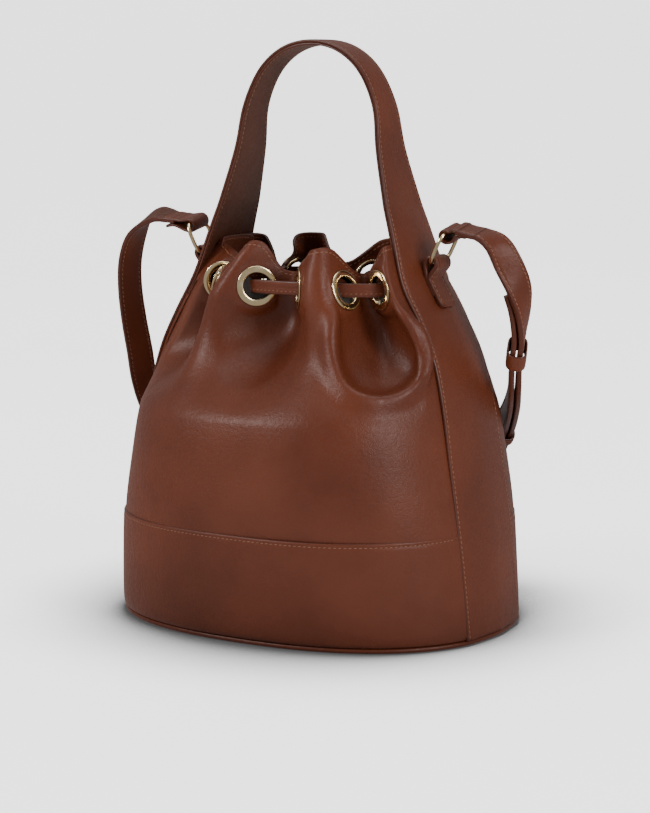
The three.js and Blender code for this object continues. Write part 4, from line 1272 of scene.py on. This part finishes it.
def rounded_block(name, centre, size, bevel, material, segments=3):
    """A block with every edge rounded."""
    piece = make_object(name, [np.array(centre) + np.array([x, y, z]) * np.array(size) / 2
                               for x in (-1, 1) for y in (-1, 1) for z in (-1, 1)],
                        [(0, 1, 3, 2), (4, 6, 7, 5), (0, 4, 5, 1), (2, 3, 7, 6), (0, 2, 6, 4), (1, 5, 7, 3)],
                        [material])
    edges = piece.modifiers.new("edges", "BEVEL")
    edges.width = bevel * MM
    edges.segments = segments
    bpy.context.view_layer.objects.active = piece
    with bpy.context.temp_override(object=piece, active_object=piece, selected_objects=[piece]):
        bpy.ops.object.modifier_apply(modifier="edges")
    return piece


def middle_of(node):
    """The centre and size of a node's box, in millimetres."""
    low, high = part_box(node)
    centre = [(a + b) / 2 / MM for a, b in zip(low, high)]
    size = [(b - a) / MM for a, b in zip(low, high)]
    return centre, size


def pocket_block(name, node, body, bevel, material):
    """A rounded block that takes a CAD node's place and fills its box."""
    piece = rounded_block(name, *middle_of(node), bevel, material)
    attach(piece, body)
    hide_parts(node)


def zip_teeth(look):
    """The zip's teeth, in turn above and below its middle line."""
    centre, size = middle_of("zip_tape")
    left = centre[0] - size[0] / 2 + 3
    teeth = []
    for i in range(TEETH):
        spot = (left + i * TOOTH_PITCH, centre[1] - 0.5, centre[2] + (0.6 if i % 2 else -0.6))
        teeth.append(rounded_block(f"zip_tooth_{i}", spot, (1.0, 0.7, 2.2), 0.2, look["gold"], 1))
    with bpy.context.temp_override(object=teeth[0], active_object=teeth[0], selected_editable_objects=teeth):
        bpy.ops.object.join()
    teeth[0].name = "zip_teeth"
    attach(teeth[0], BAG)


def make_pocket(look):
    """The flat inner pocket with its zip, slider and pull."""
    pocket_block("pocket_cloth", "pocket_panel", BAG, 4, look["lining"])
    pocket_block("zip_tape_cloth", "zip_tape", BAG, 0.3, look["tape"])
    zip_teeth(look)
    pocket_block("zip_slider_metal", "zip_slider", "zip_slider", 1.1, look["gold"])
    pocket_block("zip_pull_metal", "zip_pull", "zip_pull", 0.5, look["gold"])


# ---- floor and light ----

STAGE_TURN = 31
WORLD_LIGHT = 0.35
# Each light: name, place, what it is aimed at, size and power.
LIGHTS = [
    ("key", (-1.3, -1.9, 1.7), (0, 0, 0.2), (0.9, 0.9), 52),
    ("right", (2.2, -0.6, 1.2), (0, 0, 0.2), (0.7, 1.2), 40),
    ("top", (0.1, 0.2, 2.4), (0, 0, 0.1), (1.8, 1.8), 30),
]


def make_stage(look):
    """A pale floor that curves up into a backdrop."""
    profile = [(-9.0, 0.0), (2.2, 0.0)]
    profile += [(2.2 + 1.2 * math.sin(a), 1.2 - 1.2 * math.cos(a)) for a in np.linspace(0.1, math.pi / 2, 14)]
    profile += [(3.4, 4.0)]
    points = [np.array([x, y, z]) / MM for y, z in profile for x in (-12, 12)]
    floor = make_object("floor", points, quads(len(profile), 2), [look["paper"]])
    floor.rotation_euler.z = math.radians(STAGE_TURN)
    floor.visible_glossy = False


def area_light(name, place, target, size, power):
    """A rectangular light aimed at a point."""
    light = bpy.data.objects.new(name, bpy.data.lights.new(name, "AREA"))
    bpy.context.collection.objects.link(light)
    light.data.shape = "RECTANGLE"
    light.data.size, light.data.size_y = size
    light.data.energy = power
    light.location = place
    aim = Vector(target) - Vector(place)
    light.rotation_euler = aim.to_track_quat("-Z", "Y").to_euler()


def make_light():
    """Soft daylight from all round, with three area lights."""
    world = bpy.data.worlds.new("world")
    bpy.context.scene.world = world
    world.use_nodes = True
    background = world.node_tree.nodes["Background"]
    background.inputs["Color"].default_value = (1, 1, 1, 1)
    background.inputs["Strength"].default_value = WORLD_LIGHT
    for light in LIGHTS:
        area_light(*light)


# ---- build ----

make_camera()
look = make_materials()
make_straps(look)
front_places, front_grid = make_panel("front_panel", FRONT_FOLDS, -1, look, 3, FRONT_POCKETS)
back_places, back_grid = make_panel("back_panel", BACK_FOLDS, 1, look, 8)
base_panel(look)
base_band("front_base_band", -1, look)
base_band("back_base_band", 1, look)
make_strip(look)
make_eyelets(front_places, "front", look)
make_eyelets(back_places, "back", look)
ring_hardware("left", -1, look)
ring_hardware("right", 1, look)
mouth_facing("left", -1, look)
mouth_facing("right", 1, look)
make_drawstring(front_places, back_places, look)
make_lining(front_grid, back_grid, look)
make_pocket(look)
bpy.data.objects["base_board"].data.materials[0] = look["board"]
make_stage(look)
make_light()
